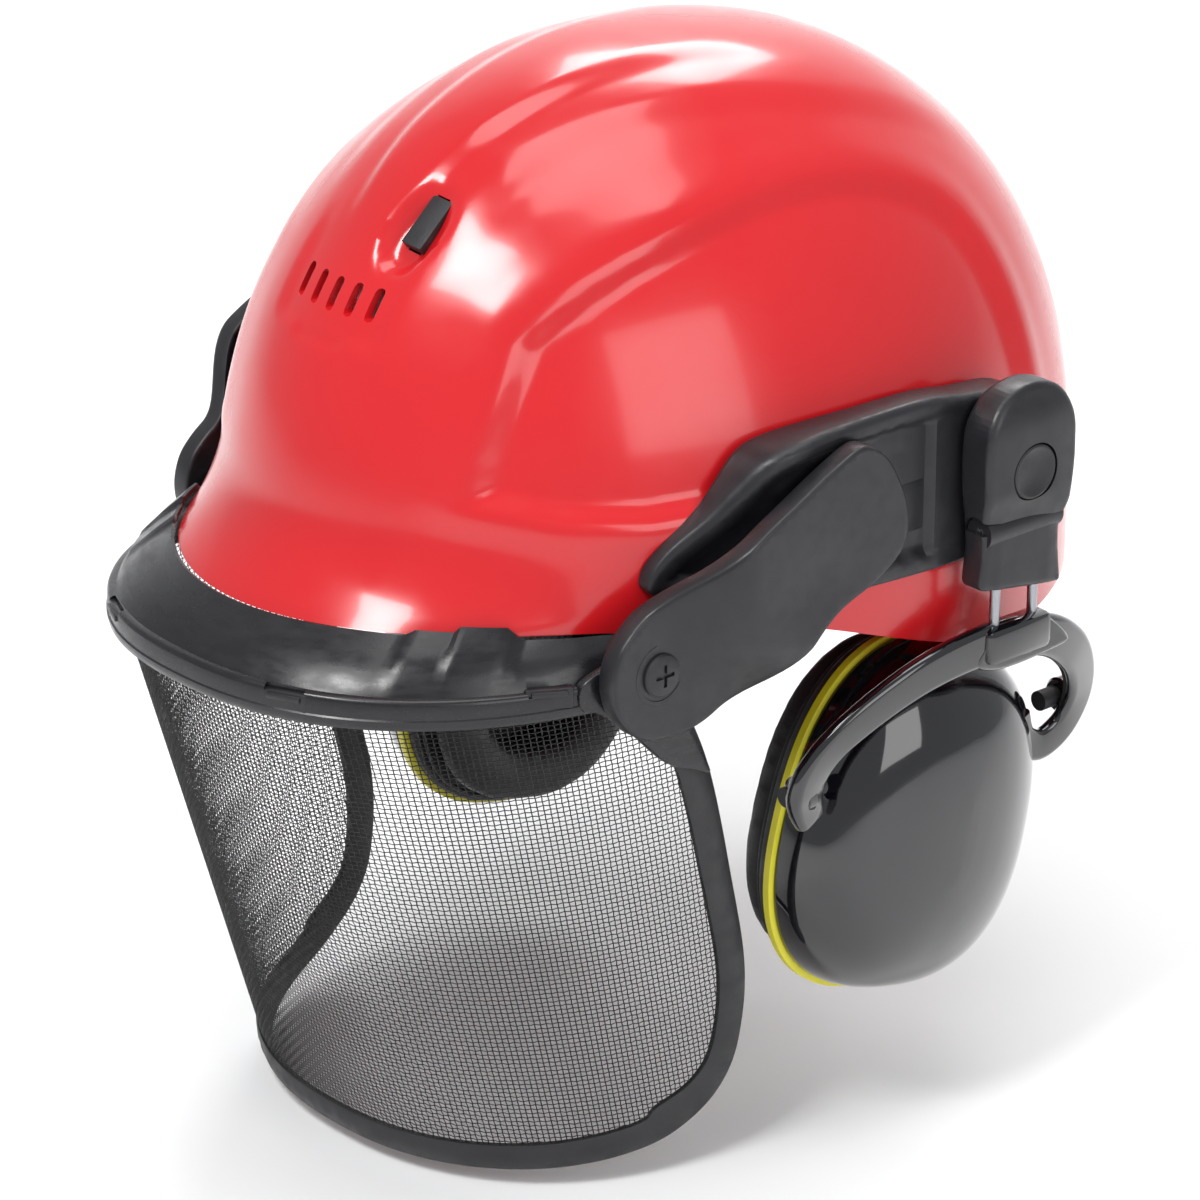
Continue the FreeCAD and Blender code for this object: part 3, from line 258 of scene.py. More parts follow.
def mirrored(piece, name):
    """The wearer's right-hand twin."""
    twin = piece.copy()
    twin.data = piece.data.copy()
    twin.name = name
    twin.data.name = name
    bpy.context.scene.collection.objects.link(twin)
    twin.data.transform(Matrix.Scale(-1, 4, (1, 0, 0)))
    twin.data.flip_normals()
    return twin


def side_slab(name, outline, inner, outer, width=1.2, segments=3, columns=26, shift=None, dish=None):
    """A plate seen from the side: its outline is (y, z) points and its faces lie at x = inner and x = outer.

    shift(y, z) moves it outward, and dish(y, z) raises or lowers the outer face only.
    """
    work = bmesh.new()
    loop = [work.verts.new((inner, y, z)) for y, z in outline]
    face = work.faces.new(loop)
    made = bmesh.ops.extrude_face_region(work, geom=[face])
    top = [v for v in made["geom"] if isinstance(v, bmesh.types.BMVert)]
    bmesh.ops.translate(work, verts=top, vec=(outer - inner, 0, 0))
    bmesh.ops.recalc_face_normals(work, faces=work.faces)
    rim = [e for e in work.edges if abs(e.verts[0].co.x - e.verts[1].co.x) < 0.001]
    bmesh.ops.bevel(work, geom=rim, offset=width, segments=segments, profile=0.5, affect="EDGES")
    ys = [v.co.y for v in work.verts]
    zs = [v.co.z for v in work.verts]
    for low, high, normal in ((min(ys), max(ys), (0, 1, 0)), (min(zs), max(zs), (0, 0, 1))):
        for step in range(1, columns):
            spot = low + (high - low) * step / columns
            geom = list(work.verts) + list(work.edges) + list(work.faces)
            bmesh.ops.bisect_plane(work, geom=geom, plane_co=[c * spot for c in normal], plane_no=normal)
    middle = (inner + outer) / 2
    for v in work.verts:
        y, z = v.co.y, v.co.z
        if dish and v.co.x > middle:
            v.co.x += dish(y, z) * min(1, (v.co.x - middle) / (outer - middle))
        if shift:
            v.co.x += shift(y, z)
    bmesh.ops.scale(work, verts=work.verts, vec=(MM, MM, MM))
    mesh = bpy.data.meshes.new(name)
    work.to_mesh(mesh)
    work.free()
    piece = bpy.data.objects.new(name, mesh)
    bpy.context.scene.collection.objects.link(piece)
    return smooth_by_angle(piece, 40)


def turn_angles(steps):
    """Evenly spaced angles, once round."""
    return np.linspace(0, 2 * math.pi, steps + 1)[:-1]


def turned(name, profile, first, second, axis="x", steps=48):
    """A body of revolution about a line along an axis, from (level, radius) pairs in rising order.

    The line passes through first and second on the other two axes.
    """
    rings = []
    for level, radius in profile:
        ring = []
        for angle in turn_angles(steps):
            cos, sin = radius * math.cos(angle), radius * math.sin(angle)
            spots = {
                "x": (level, first + cos, second + sin),
                "y": (first + sin, level, second + cos),
                "z": (first + cos, second + sin, level),
            }
            ring.append(spots[axis])
        rings.append(ring)
    return rings_to_object(name, rings)


def disc(name, radius, low, high, first, second, axis="x", steps=48):
    """A round bar along an axis."""
    return turned(name, ((low, radius), (high, radius)), first, second, axis, steps)


def set_at(piece, x, y, degrees):
    """Turn a piece about the Z axis, then move it to a spot in plan."""
    turn = Matrix.Rotation(math.radians(degrees), 4, "Z")
    piece.data.transform(Matrix.Translation(Vector((x, y, 0)) * MM) @ turn)
    return piece


def blocky(name, low, high):
    """A plain box used to cut with."""
    corners = [(x, y, z) for x in (low[0], high[0]) for y in (low[1], high[1]) for z in (low[2], high[2])]
    faces = [(0, 1, 3, 2), (4, 6, 7, 5), (0, 4, 5, 1), (2, 3, 7, 6), (0, 2, 6, 4), (1, 5, 7, 3)]
    return to_object(name, corners, faces, smooth=False)


def ease(value, low, high):
    """0 at low, 1 at high, with soft ends."""
    t = min(max((value - low) / (high - low), 0.0), 1.0)
    return t * t * (3 - 2 * t)


# ---------------------------------------------------------------- materials


class Shader:
    """A Principled material with a few short ways to add detail."""

    def __init__(self, name, color, roughness, metallic=0.0, coat=0.0, coat_roughness=0.05):
        self.material = bpy.data.materials.new(name)
        self.material.use_nodes = True
        self.tree = self.material.node_tree
        self.main = self.tree.nodes["Principled BSDF"]
        self.put("Base Color", (*color, 1))
        self.put("Roughness", roughness)
        self.put("Metallic", metallic)
        self.put("Coat Weight", coat)
        self.put("Coat Roughness", coat_roughness)
        self.place = self.tree.nodes.new("ShaderNodeTexCoord").outputs["Object"]
        self.bumps = None

    def put(self, socket, value):
        self.main.inputs[socket].default_value = value

    def noise(self, scale, detail, stretch=None):
        node = self.tree.nodes.new("ShaderNodeTexNoise")
        node.inputs["Scale"].default_value = scale
        node.inputs["Detail"].default_value = detail
        source = self.place
        if stretch:
            turn = self.tree.nodes.new("ShaderNodeMapping")
            turn.inputs["Scale"].default_value = stretch
            self.tree.links.new(self.place, turn.inputs["Vector"])
            source = turn.outputs["Vector"]
        self.tree.links.new(source, node.inputs["Vector"])
        return node.outputs["Fac"]

    def wave(self, scale, way):
        node = self.tree.nodes.new("ShaderNodeTexWave")
        node.bands_direction = way
        node.inputs["Scale"].default_value = scale
        self.tree.links.new(self.place, node.inputs["Vector"])
        return node.outputs["Fac"]

    def cells(self, scale):
        node = self.tree.nodes.new("ShaderNodeTexVoronoi")
        node.inputs["Scale"].default_value = scale
        self.tree.links.new(self.place, node.inputs["Vector"])
        return node.outputs["Distance"]

    def product(self, first, second):
        node = self.tree.nodes.new("ShaderNodeMath")
        node.operation = "MULTIPLY"
        self.tree.links.new(first, node.inputs[0])
        self.tree.links.new(second, node.inputs[1])
        return node.outputs[0]

    def bump(self, height, strength, distance):
        node = self.tree.nodes.new("ShaderNodeBump")
        node.inputs["Strength"].default_value = strength
        node.inputs["Distance"].default_value = distance * MM
        self.tree.links.new(height, node.inputs["Height"])
        if self.bumps is not None:
            self.tree.links.new(self.bumps, node.inputs["Normal"])
        self.bumps = node.outputs["Normal"]
        self.tree.links.new(self.bumps, self.main.inputs["Normal"])
        return self

    def spread(self, source, low, high, start=0.35, end=0.65):
        node = self.tree.nodes.new("ShaderNodeMapRange")
        node.inputs["From Min"].default_value = start
        node.inputs["From Max"].default_value = end
        node.inputs["To Min"].default_value = low
        node.inputs["To Max"].default_value = high
        self.tree.links.new(source, node.inputs["Value"])
        return node.outputs["Result"]

    def vary_roughness(self, source, low, high):
        self.tree.links.new(self.spread(source, low, high), self.main.inputs["Roughness"])
        return self

    def vary_color(self, source, first, second, start=0.35, end=0.65):
        node = self.tree.nodes.new("ShaderNodeMix")
        node.data_type = "RGBA"
        node.inputs["A"].default_value = (*first, 1)
        node.inputs["B"].default_value = (*second, 1)
        self.tree.links.new(self.spread(source, 0, 1, start, end), node.inputs["Factor"])
        self.tree.links.new(node.outputs["Result"], self.main.inputs["Base Color"])
        return self


def make_materials():
    looks = {}
    red = Shader("red_gloss", (0.60, 0.010, 0.014), 0.24, coat=0.35, coat_roughness=0.08)
    red.vary_color(red.noise(9, 2), (0.57, 0.009, 0.013), (0.63, 0.011, 0.016))
    red.vary_roughness(red.noise(60, 4), 0.17, 0.25)
    red.bump(red.noise(38, 2), 0.05, 0.5)
    looks["red"] = red
    satin = Shader("satin_black", (0.011, 0.011, 0.013), 0.36)
    satin.vary_color(satin.noise(30, 4), (0.009, 0.009, 0.011), (0.015, 0.015, 0.018))
    satin.vary_roughness(satin.noise(220, 5), 0.33, 0.47)
    satin.bump(satin.noise(1900, 3), 0.22, 0.12)
    looks["satin"] = satin
    ring = Shader("visor_frame_black", (0.009, 0.009, 0.011), 0.27)
    ring.vary_roughness(ring.noise(120, 5, stretch=(1, 1, 4)), 0.22, 0.36)
    ring.vary_color(ring.noise(26, 4), (0.007, 0.007, 0.009), (0.012, 0.012, 0.014))
    ring.bump(ring.noise(1500, 2), 0.1, 0.08)
    looks["ring"] = ring
    gloss = Shader("gloss_black", (0.004, 0.004, 0.006), 0.07, coat=1.0, coat_roughness=0.03)
    gloss.vary_roughness(gloss.noise(70, 4), 0.05, 0.12)
    gloss.bump(gloss.noise(30, 2), 0.03, 0.4)
    looks["gloss"] = gloss
    grained = Shader("moulded_black", (0.017, 0.017, 0.019), 0.5)
    grained.vary_roughness(grained.noise(160, 4), 0.42, 0.6)
    grained.bump(grained.cells(1300), 0.25, 0.12)
    grained.vary_color(grained.noise(40, 3), (0.013, 0.013, 0.015), (0.022, 0.022, 0.024))
    looks["grained"] = grained
    harness = Shader("harness_plastic", (0.05, 0.05, 0.055), 0.5)
    harness.vary_roughness(harness.noise(140, 4), 0.42, 0.6)
    harness.vary_color(harness.noise(22, 3), (0.04, 0.04, 0.044), (0.06, 0.06, 0.066))
    harness.bump(harness.noise(900, 3), 0.25, 0.15)
    looks["harness"] = harness
    yellow = Shader("yellow_trim", (0.72, 0.66, 0.02), 0.36)
    yellow.vary_color(yellow.noise(35, 3), (0.66, 0.6, 0.015), (0.78, 0.72, 0.03))
    yellow.bump(yellow.noise(1200, 3), 0.12, 0.1)
    looks["yellow"] = yellow
    wire = Shader("coated_wire", (0.012, 0.012, 0.013), 0.42, metallic=0.15)
    wire.vary_roughness(wire.noise(400, 3), 0.34, 0.5)
    wire.bump(wire.noise(2500, 2), 0.2, 0.05)
    looks["wire"] = wire
    steel = Shader("drawn_steel", (0.36, 0.37, 0.39), 0.28, metallic=1.0)
    steel.vary_roughness(steel.noise(500, 4, stretch=(6, 6, 0.4)), 0.2, 0.4)
    steel.bump(steel.noise(900, 3, stretch=(6, 6, 0.3)), 0.15, 0.05)
    looks["steel"] = steel
    skin = Shader("cushion_skin", (0.013, 0.013, 0.015), 0.48)
    skin.vary_roughness(skin.noise(90, 4), 0.4, 0.58)
    skin.bump(skin.cells(700), 0.35, 0.25)
    skin.bump(skin.noise(130, 3), 0.25, 0.5)
    looks["skin"] = skin
    foam = Shader("open_foam", (0.09, 0.09, 0.1), 0.95)
    foam.vary_color(foam.cells(620), (0.03, 0.03, 0.034), (0.14, 0.14, 0.15), 0.1, 0.6)
    foam.bump(foam.cells(620), 0.9, 0.8)
    looks["foam"] = foam
    knit = Shader("knit_cloth", (0.03, 0.03, 0.033), 0.9)
    knit.put("Sheen Weight", 0.3)
    stitches = knit.product(knit.wave(330, "X"), knit.wave(330, "Z"))
    knit.vary_color(stitches, (0.018, 0.018, 0.02), (0.05, 0.05, 0.055), 0.1, 0.7)
    knit.bump(stitches, 0.6, 0.35)
    looks["knit"] = knit
    web = Shader("strap_webbing", (0.035, 0.035, 0.04), 0.8)
    web.put("Sheen Weight", 0.2)
    weave = web.product(web.wave(420, "X"), web.wave(420, "Y"))
    web.vary_color(weave, (0.02, 0.02, 0.024), (0.06, 0.06, 0.068), 0.05, 0.6)
    web.bump(weave, 0.7, 0.35)
    looks["web"] = web
    return {name: look.material for name, look in looks.items()}


LOOKS = make_materials()


def finish_piece(piece, look, body, slot, *nodes):
    """Give a piece its material, its body and the frame node that it stands for."""
    piece.data.materials.clear()
    piece.data.materials.append(LOOKS[look])
    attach(piece, body)
    if nodes:
        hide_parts(*nodes)
    return piece


def dress_node(node, look):
    """A better material on a frame node that stays in view."""
    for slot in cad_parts[node].material_slots:
        slot.material = LOOKS[look]


# ---------------------------------------------------------------- helmet shell


def oval_reach(across, along, half_width, half_length, centre, power):
    """How far a ray from the Z axis runs to an oval whose centre is moved along Y."""
    near, far = 0.0, 4 * half_length
    for _ in range(26):
        middle = (near + far) / 2
        x_share, y_share = middle * across / half_width, (middle * along - centre) / half_length
        is_inside = abs(x_share) ** power + abs(y_share) ** power < 1
        near, far = (middle, far) if is_inside else (near, middle)
    return near


def plan_reach(across, along):
    """The shell's outline at its widest level, and the brim's flare beyond it."""
    is_front = along < 0
    reach, power = (FRONT, FRONT_POWER) if is_front else (REAR, REAR_POWER)
    plan = (abs(across / HALF_WIDTH) ** power + abs(along / reach) ** power) ** (-1 / power)
    flare = 0.0
    if is_front:
        over = oval_reach(across, along, **BRIM) - plan
        flare = (over + math.hypot(over, 2)) / 2 * ease(-along, 0.12, 0.5)
    return plan, flare


def rise_share(along, level):
    """How much of the widest outline is left at a level."""
    power = 2.12 + (0.26 if along < 0 else 0.16) * along**2
    share = min(max(level / HEIGHT, 0.0), 0.9999)
    return (1 - share**power) ** (1 / power)


def rim_level(y):
    """The height of the shell's lower edge: it dips at the sides and drops to the nape."""
    return RIM_FRONT + (RIM_SIDE - RIM_FRONT) * ease(y, -150, -75) + (RIM_REAR - RIM_SIDE) * ease(y, -62, 62)


def distance_to_line(y, z, points):
    """Signed distance in the side view to an open line of (y, z) points: positive on its left."""
    best, sign = 1e9, 1
    for (y0, z0), (y1, z1) in zip(points, points[1:]):
        dy, dz = y1 - y0, z1 - z0
        t = min(max(((y - y0) * dy + (z - z0) * dz) / (dy * dy + dz * dz), 0), 1)
        away = math.hypot(y - y0 - t * dy, z - z0 - t * dz)
        if away < best:
            best = away
            sign = 1 if dy * (z - z0) - dz * (y - y0) > 0 else -1
    return best * sign


PANEL = spline([(-111, 41), (-107, 56), (-95.6, 79), (-88, 88), (-65, 101), (-31, 111), (-2, 114), (27, 110),
                (51, 98), (63, 80), (69, 59), (72, 36), (74, 10)], 30).tolist()
PANEL_FOOT = [(-111, 41), (-92.6, 36), (-72, 34.4), (-40, 37), (0, 30), (74, 10)]
PANEL_DEPTH, PANEL_LIP = 3.2, 0.7
RIDGE, SECOND_RIDGE = 1.7, 1.5
VENT_FIELD, VENT_GROOVE, TAB_HOLLOW = 1.1, 1.0, 4.0


def relief(x, y, z):
    """How far the shell's detail stands out of its plain surface, in millimetres."""
    side = abs(x)
    out = 0.0
    # a raised middle ridge and, beside it, a second line that widens to the back
    high = ease(z, 72, 98)
    fade = ease(y, -104, -84) * (1 - ease(y, -20, 40))
    out += RIDGE * fade * high * (1 - ease(side, 7 + 0.08 * (y + 95), 12 + 0.16 * (y + 95)))
    half = 25 + 22 * ease(y, -90, 60)
    out += SECOND_RIDGE * ease(y, -100, -70) * (1 - ease(y, 50, 90)) * high * (1 - ease(side, half - 3, half + 9))
    # side panel: one smooth step inward across a rounded border
    if side > 30:
        spread = ease(side, 30, 52)
        edge = min(-distance_to_line(y, z, PANEL), distance_to_line(y, z, PANEL_FOOT))
        out -= spread * PANEL_DEPTH * ease(edge, -0.5, 6.5)
        out += spread * PANEL_LIP * math.exp(-((edge + 3) / 5) ** 2)
    # sunk field round the front vents, and the short groove under them
    if y < -60:
        field = (1 - ease(side, 18, 24)) * ease(z, 76, 81) * (1 - ease(z, 94, 108))
        out -= VENT_FIELD * field
        out -= VENT_GROOVE * (1 - ease(side, 8, 10)) * math.exp(-((z - 77) / 1.3) ** 2)
    # a sunk oval that lets the vent tab stand clear
    near = math.hypot((x - TAB_SPOT[0]) / 7.5, (z - TAB_SPOT[2] - 2) / 9)
    if y < 0:
        out -= TAB_HOLLOW * (1 - ease(near, 0.6, 1.3))
    return out


def shell_surface(columns, rows):
    """Outer points of the shell, ring by ring from the rim to just below the crown."""
    rings = []
    for i in range(rows):
        ring = []
        turn = math.radians(89.2 * (i / (rows - 1)) ** 0.97)
        for j in range(columns):
            angle = 2 * math.pi * j / columns
            across, along = math.sin(angle), -math.cos(angle)
            plan, flare = plan_reach(across, along)
            y_rim = plan * along
            low = rim_level(y_rim - (18 if along < -0.5 else 0))
            level = low + (HEIGHT - low) * math.sin(turn)
            fall = min(max((FLARE_TOP - level) / (FLARE_TOP - BRIM_LEVEL), 0), 1)
            radius = plan * rise_share(along, level) + flare * fall**2.2
            ring.append((radius * across, radius * along, level))
        rings.append(ring)
    return np.array(rings)


def grid_normals(points):
    """Outward normals of a closed grid of rings."""
    around = np.roll(points, -1, axis=1) - np.roll(points, 1, axis=1)
    up = np.gradient(points, axis=0)
    normal = np.cross(around, up)
    return normal / np.linalg.norm(normal, axis=2, keepdims=True)


def tab_frame():
    """Where the vent tab sits on the shell: x across, y up the front, z outward."""
    side, front, level = TAB_SPOT
    outward = Vector((side / HALF_WIDTH**2, front / FRONT**2, level / HEIGHT**2)).normalized()
    upward = Vector((0, outward.z, -outward.y)).normalized()
    across = upward.cross(outward).normalized()
    upward = outward.cross(across)
    turn = Matrix((across, upward, outward)).transposed().to_4x4()
    return Matrix.Translation(Vector(TAB_SPOT) * MM) @ turn


def make_shell():
    columns, rows = 360, 130
    plain = shell_surface(columns, rows)
    normals = grid_normals(plain)
    lift = np.array([[relief(*spot) for spot in ring] for ring in plain])
    outer = plain + normals * lift[..., None]
    inner = plain - normals * (WALL + np.maximum(-lift, 0))[..., None]
    inner[0, :, 2] = outer[0, :, 2]
    rings = np.concatenate([inner[::-1], outer])
    count = len(rings)
    vertices = rings.reshape(-1, 3).tolist()
    faces = []
    for i in range(count - 1):
        for j in range(columns):
            k = (j + 1) % columns
            faces.append((i * columns + j, i * columns + k, (i + 1) * columns + k, (i + 1) * columns + j))
    top = len(vertices)
    vertices += [(0, 0, HEIGHT - WALL + 0.1), (0, 0, float(outer[-1, :, 2].max()) + 0.02)]
    for j in range(columns):
        k = (j + 1) % columns
        faces.append((top, k, j))
        faces.append((top + 1, (count - 1) * columns + j, (count - 1) * columns + k))
    shell = to_object("shell_skin", vertices, faces)
    tools = []
    for i in range(VENT_COUNT):
        across = (i - (VENT_COUNT - 1) / 2) * VENT_PITCH
        low = (across - VENT_WIDTH / 2, -150, VENT_LEVEL - VENT_HEIGHT / 2)
        high = (across + VENT_WIDTH / 2, -70, VENT_LEVEL + VENT_HEIGHT / 2)
        tools.append(bevel_box(blocky("vent_tool", low, high), 1.2))
    slot = blocky("tab_slot", (-2.3, -8.5, -12), (2.3, 8.5, 12))
    slot.data.transform(tab_frame())
    tools.append(slot)
    for _, sign in SIDES:
        low = sorted((sign * 90.0, sign * 130.0))
        tools.append(blocky("tongue_tool", (low[0], -12, 17.5), (low[1], 12, 34.5)))
    cut_away(shell, *tools)
    smooth_by_angle(shell, 32)
    return finish_piece(shell, "red", "helmet", "red_shell", "helmet_shell")


# ---------------------------------------------------------------- visor


def bow_point(angle, half_width, length, centre, power=2.3):
    """A point of a half oval in plan: the angle runs from -90 degrees at the right ear to 90 at the left."""
    across, along = math.sin(angle), math.cos(angle)
    stretch = (abs(across) ** power + abs(along) ** power) ** (-1 / power)
    return half_width * across * stretch, centre - length * along * stretch


def brim_point(angle, gap):
    """A spot just outside the shell's edge, in plan."""
    across, along = math.sin(angle), -math.cos(angle)
    half_width, half_length = BRIM["half_width"] + gap, BRIM["half_length"] + gap
    brim = oval_reach(across, along, half_width, half_length, BRIM["centre"], BRIM["power"])
    reach = max(brim, plan_reach(across, along)[0] + 0.8)
    return reach * across, reach * along


def make_visor_frame():
    """The bow: a section carried round the brim, with clip windows, raised steps and pivot ears."""
    steps = 150
    rings = []
    limit = math.radians(78)
    for i in range(steps + 1):
        angle = -limit + 2 * limit * i / steps
        x, y = bow_point(angle, **FRAME)
        inner_x, inner_y = brim_point(math.atan2(x, -y), 1.0)
        droop = (x / 90) ** 2
        raised = 1.8 * (ease(abs(x), 60, 61) + ease(abs(x), 70, 71) - 2 * ease(abs(x), 79, 80))
        top_in = rim_level(inner_y) + 0.9 + raised
        top, low = FRAME_TOP - 3 * droop, FRAME_BOTTOM - 2 * droop
        slope = top_in - top

        def at(share, level):
            return (x + (inner_x - x) * share, y + (inner_y - y) * share, level)

        span = max(math.hypot(inner_x - x, inner_y - y), 3.4)
        edge = 1.2 / span
        wall = min(2.5 / span, 0.7)
        rings.append([
            at(0, top - 1.4), at(edge * 0.35, top - 0.45), at(edge, top), at(edge * 2.2, top + 0.1),
            at(0.3, top + 0.36 * slope), at(0.62, top + 0.7 * slope), at(0.94, top_in), at(0.985, top_in - 0.3),
            at(1, top_in - 0.8), at(1, top_in - 1.8), at(0.97, top_in - 2.3), at(0.62, top + 0.7 * slope - 2.4),
            at(max(0.3, wall * 1.2), top + 0.36 * slope - 2.5), at(wall * 1.05, top - 3.2), at(wall, low + 0.8),
            at(wall * 0.8, low), at(wall * 0.25, low), at(0, low + 0.6), at(-edge * 0.35, low + 2.2),
            at(-edge * 0.35, low + 3.0), at(0, low + 3.4),
        ])
    bow = rings_to_object("bow", rings)
    tools = []
    for degrees in CLIP_ANGLES:
        tool = blocky("clip_window", (-6, -1.5, -6.2), (6, 2.2, 1.5))
        tools.append(set_at(tool, *bow_point(math.radians(degrees), **FRAME), degrees))
    bow = cut_away(bow, *tools)
    outline = [(-99, -12), (-99, -4.8), (-90, 0.5), (-84, 6), (-76, 6), (-71, 1), (-70, -6), (-68, -14),
               (-63, -26), (-54.5, -42), (-61, -40), (-71, -35), (-84, -22), (-94, -14)]
    ear = side_slab("ear", spline(outline, 70, closed=True), EAR_INNER, EAR_OUTER, 0.7, 2, 10,
                    lambda y, z: -3.6 * (1 - ease(y, -101, -86)))
    ear = cut_away(ear, disc("ear_bore", 3.1, 90, 115, *TILT_PIVOT))
    piece = join("visor_bow", [bow, ear, mirrored(ear, "ear_twin")])
    smooth_by_angle(piece, 38)
    return finish_piece(piece, "ring", "visor", "satin_black", "visor_frame")


def sheet_point(angle, level, grow=0.0):
    """A point on the leaning sheet: an angle in plan and a height."""
    share = (SHEET_TOP - level) / (SHEET_TOP - SHEET_BOTTOM)
    half, centre, front = (top + (bottom - top) * share for top, bottom in SHEET.values())
    x, y = bow_point(angle, half + grow, centre - front + grow, centre)
    return np.array((x, y, level))


def side_edge(level):
    """The y of the sheet's rear edge at a height, in the side view."""
    line = [(-8, -66), (-42, -52), (-80, -42), (-117, -35), (-140, -38), (-152, -46), (-160, -58),
            (-165, -78)]
    for (z0, y0), (z1, y1) in zip(line, line[1:]):
        if z1 <= level <= z0:
            return y0 + (y1 - y0) * (z0 - level) / (z0 - z1)
    return -78


def edge_route(inset):
    """The sheet's cut edge as (angle, level): down from the left ear, along the bottom, up to the right."""
    side = [(-12.5, -66), (-42, -52), (-80, -42), (-112, -35.5), (-135, -37), (-148, -43), (-157, -54)]
    bottom = [(64, -162.5), (48, -166.0), (24, -167.5), (0, -168.0)]
    route = []
    for level, y in side:
        low, high = math.radians(20), math.radians(110)
        for _ in range(30):
            middle = (low + high) / 2
            low, high = (middle, high) if sheet_point(middle, level)[1] < y else (low, middle)
        route.append((math.degrees(low) - inset * 0.62, level))
    route += bottom
    half = []
    for index, (angle, level) in enumerate(route):
        half.append((angle, level + inset * ease(index, 3.0, 7.0)))
    return half + [(-a, z) for a, z in half[-2::-1]]


def make_binding():
    """The folded plastic binding round the sheet's sides and bottom, ribbed where it is pressed on."""
    route = spline(edge_route(0), 420)
    inner_route = spline(edge_route(8.5), 420)
    rings = []
    for i in range(len(route)):
        rib = 0.18 * ((i // 2) % 2)
        ring = []
        edge_a, edge_z = route[i]
        in_a, in_z = inner_route[i]
        for share, grow in ((0, -0.9), (-0.06, 0), (0, 0.9), (0.08, 1.5), (0.5, 1.7 + rib), (0.92, 1.35),
                            (1.0, 0.9), (1.0, -0.9), (0.92, -1.35), (0.5, -1.7 - rib), (0.08, -1.5)):
            a = math.radians(edge_a + (in_a - edge_a) * share)
            ring.append(sheet_point(a, edge_z + (in_z - edge_z) * share, grow))
        rings.append(ring)
    piece = rings_to_object("mesh_binding", rings)
    smooth_by_angle(piece, 40)
    return finish_piece(piece, "grained", "visor", "black_plastic", "edge_binding")


def wire_ribbon(vertices, faces, points, outs, sides, radius):
    """A four-sided wire along points."""
    start = len(vertices)
    for spot, out, side in zip(points, outs, sides):
        vertices += [spot + out * radius, spot + side * radius, spot - out * radius, spot - side * radius]
    for i in range(len(points) - 1):
        for k in range(4):
            n = (k + 1) % 4
            a = start + i * 4
            faces.append((a + k, a + n, a + 4 + n, a + 4 + k))


def make_wires():
    """The woven sheet as real wires: one piece of upright wires and one of level wires."""
    top, low = -9.0, -163.0
    upright_count = int(SHEET_ARC / MESH_PITCH)
    level_count = int((top - low) / 0.94 / MESH_PITCH)
    limit = math.radians(104)
    table = np.linspace(-limit, limit, 721)
    spots = np.array([sheet_point(a, -80) for a in table])
    lengths = np.concatenate([[0], np.cumsum(np.linalg.norm(np.diff(spots, axis=0), axis=1))])
    angles = np.interp(np.linspace(0, lengths[-1], upright_count), lengths, table)
    levels = np.linspace(top, low, level_count)
    grid = np.array([[sheet_point(a, z) for a in angles] for z in levels])
    across = np.gradient(grid, axis=1)
    across /= np.linalg.norm(across, axis=2, keepdims=True)
    down = np.gradient(grid, axis=0)
    down /= np.linalg.norm(down, axis=2, keepdims=True)
    out = np.cross(down, across)
    edge = np.array([side_edge(z) for z in levels])
    keep = (grid[..., 1] < edge[:, None] - 4) & (levels[:, None] > low)
    for name, upright in (("wires_upright", True), ("wires_level", False)):
        vertices, faces = [], []
        for i in range(upright_count if upright else level_count):
            mask = keep[:, i] if upright else keep[i]
            index = np.nonzero(mask)[0]
            if len(index) < 4:
                continue
            breaks = np.nonzero(np.diff(index) > 1)[0]
            for run in np.split(index, breaks + 1):
                if len(run) < 4:
                    continue
                at = (run, i) if upright else (i, run)
                sign = np.where((run + i) % 2 == 0, 1.0, -1.0) * (1 if upright else -1)
                normals = out[at]
                points = grid[at] + normals * (WEAVE_SWING * sign)[:, None]
                sides = across[at] if upright else down[at]
                wire_ribbon(vertices, faces, points, normals, sides, WIRE / 2)
        finish_piece(to_object(name, vertices, faces), "wire", "visor", "wire_mesh", "visor_mesh")


def make_clips():
    """The four clips that hold the sheet in the bow's windows."""
    pieces = []
    for degrees in CLIP_ANGLES:
        spot = bow_point(math.radians(degrees), **FRAME)
        body = blocky("clip_body", (-6.8, 0.2, -10.5), (6.8, 2.6, -4.2))
        lip = blocky("clip_lip", (-5.2, -0.6, -6.6), (5.2, 1.4, -4.8))
        for part in (body, lip):
            pieces.append(set_at(bevel_box(part, 0.5), *spot, degrees))
    piece = join("mesh_clips", pieces)
    smooth_by_angle(piece, 40)
    return finish_piece(piece, "satin", "visor", "satin_black", "visor_clips")


# ---------------------------------------------------------------- arms and adapters


def round_corners(points, radius, steps=5):
    """Round every corner of a closed outline."""
    result = []
    count = len(points)
    for i in range(count):
        before, spot, after = (np.array(points[(i + k) % count], float) for k in (-1, 0, 1))
        to_before, to_after = before - spot, after - spot
        reach = min(radius, np.linalg.norm(to_before) * 0.48, np.linalg.norm(to_after) * 0.48)
        start = spot + to_before / np.linalg.norm(to_before) * reach
        end = spot + to_after / np.linalg.norm(to_after) * reach
        for step in range(steps + 1):
            t = step / steps
            result.append(tuple((1 - t) ** 2 * start + 2 * t * (1 - t) * spot + t**2 * end))
    return result


ARM_OUTLINE = [(-22, 54.2), (-13.5, 49), (-7.5, 39), (-4.6, 28), (-7, 19.5), (-16, 12.7), (-30, 7), (-41, -2),
               (-49, -12), (-58, -19.6), (-68, -23), (-79, -23), (-88, -20), (-94.8, -12), (-97, -3),
               (-95, 5.5), (-90, 11.5), (-82, 17.5), (-73, 26), (-62, 35.5), (-46, 44), (-33, 50.5)]


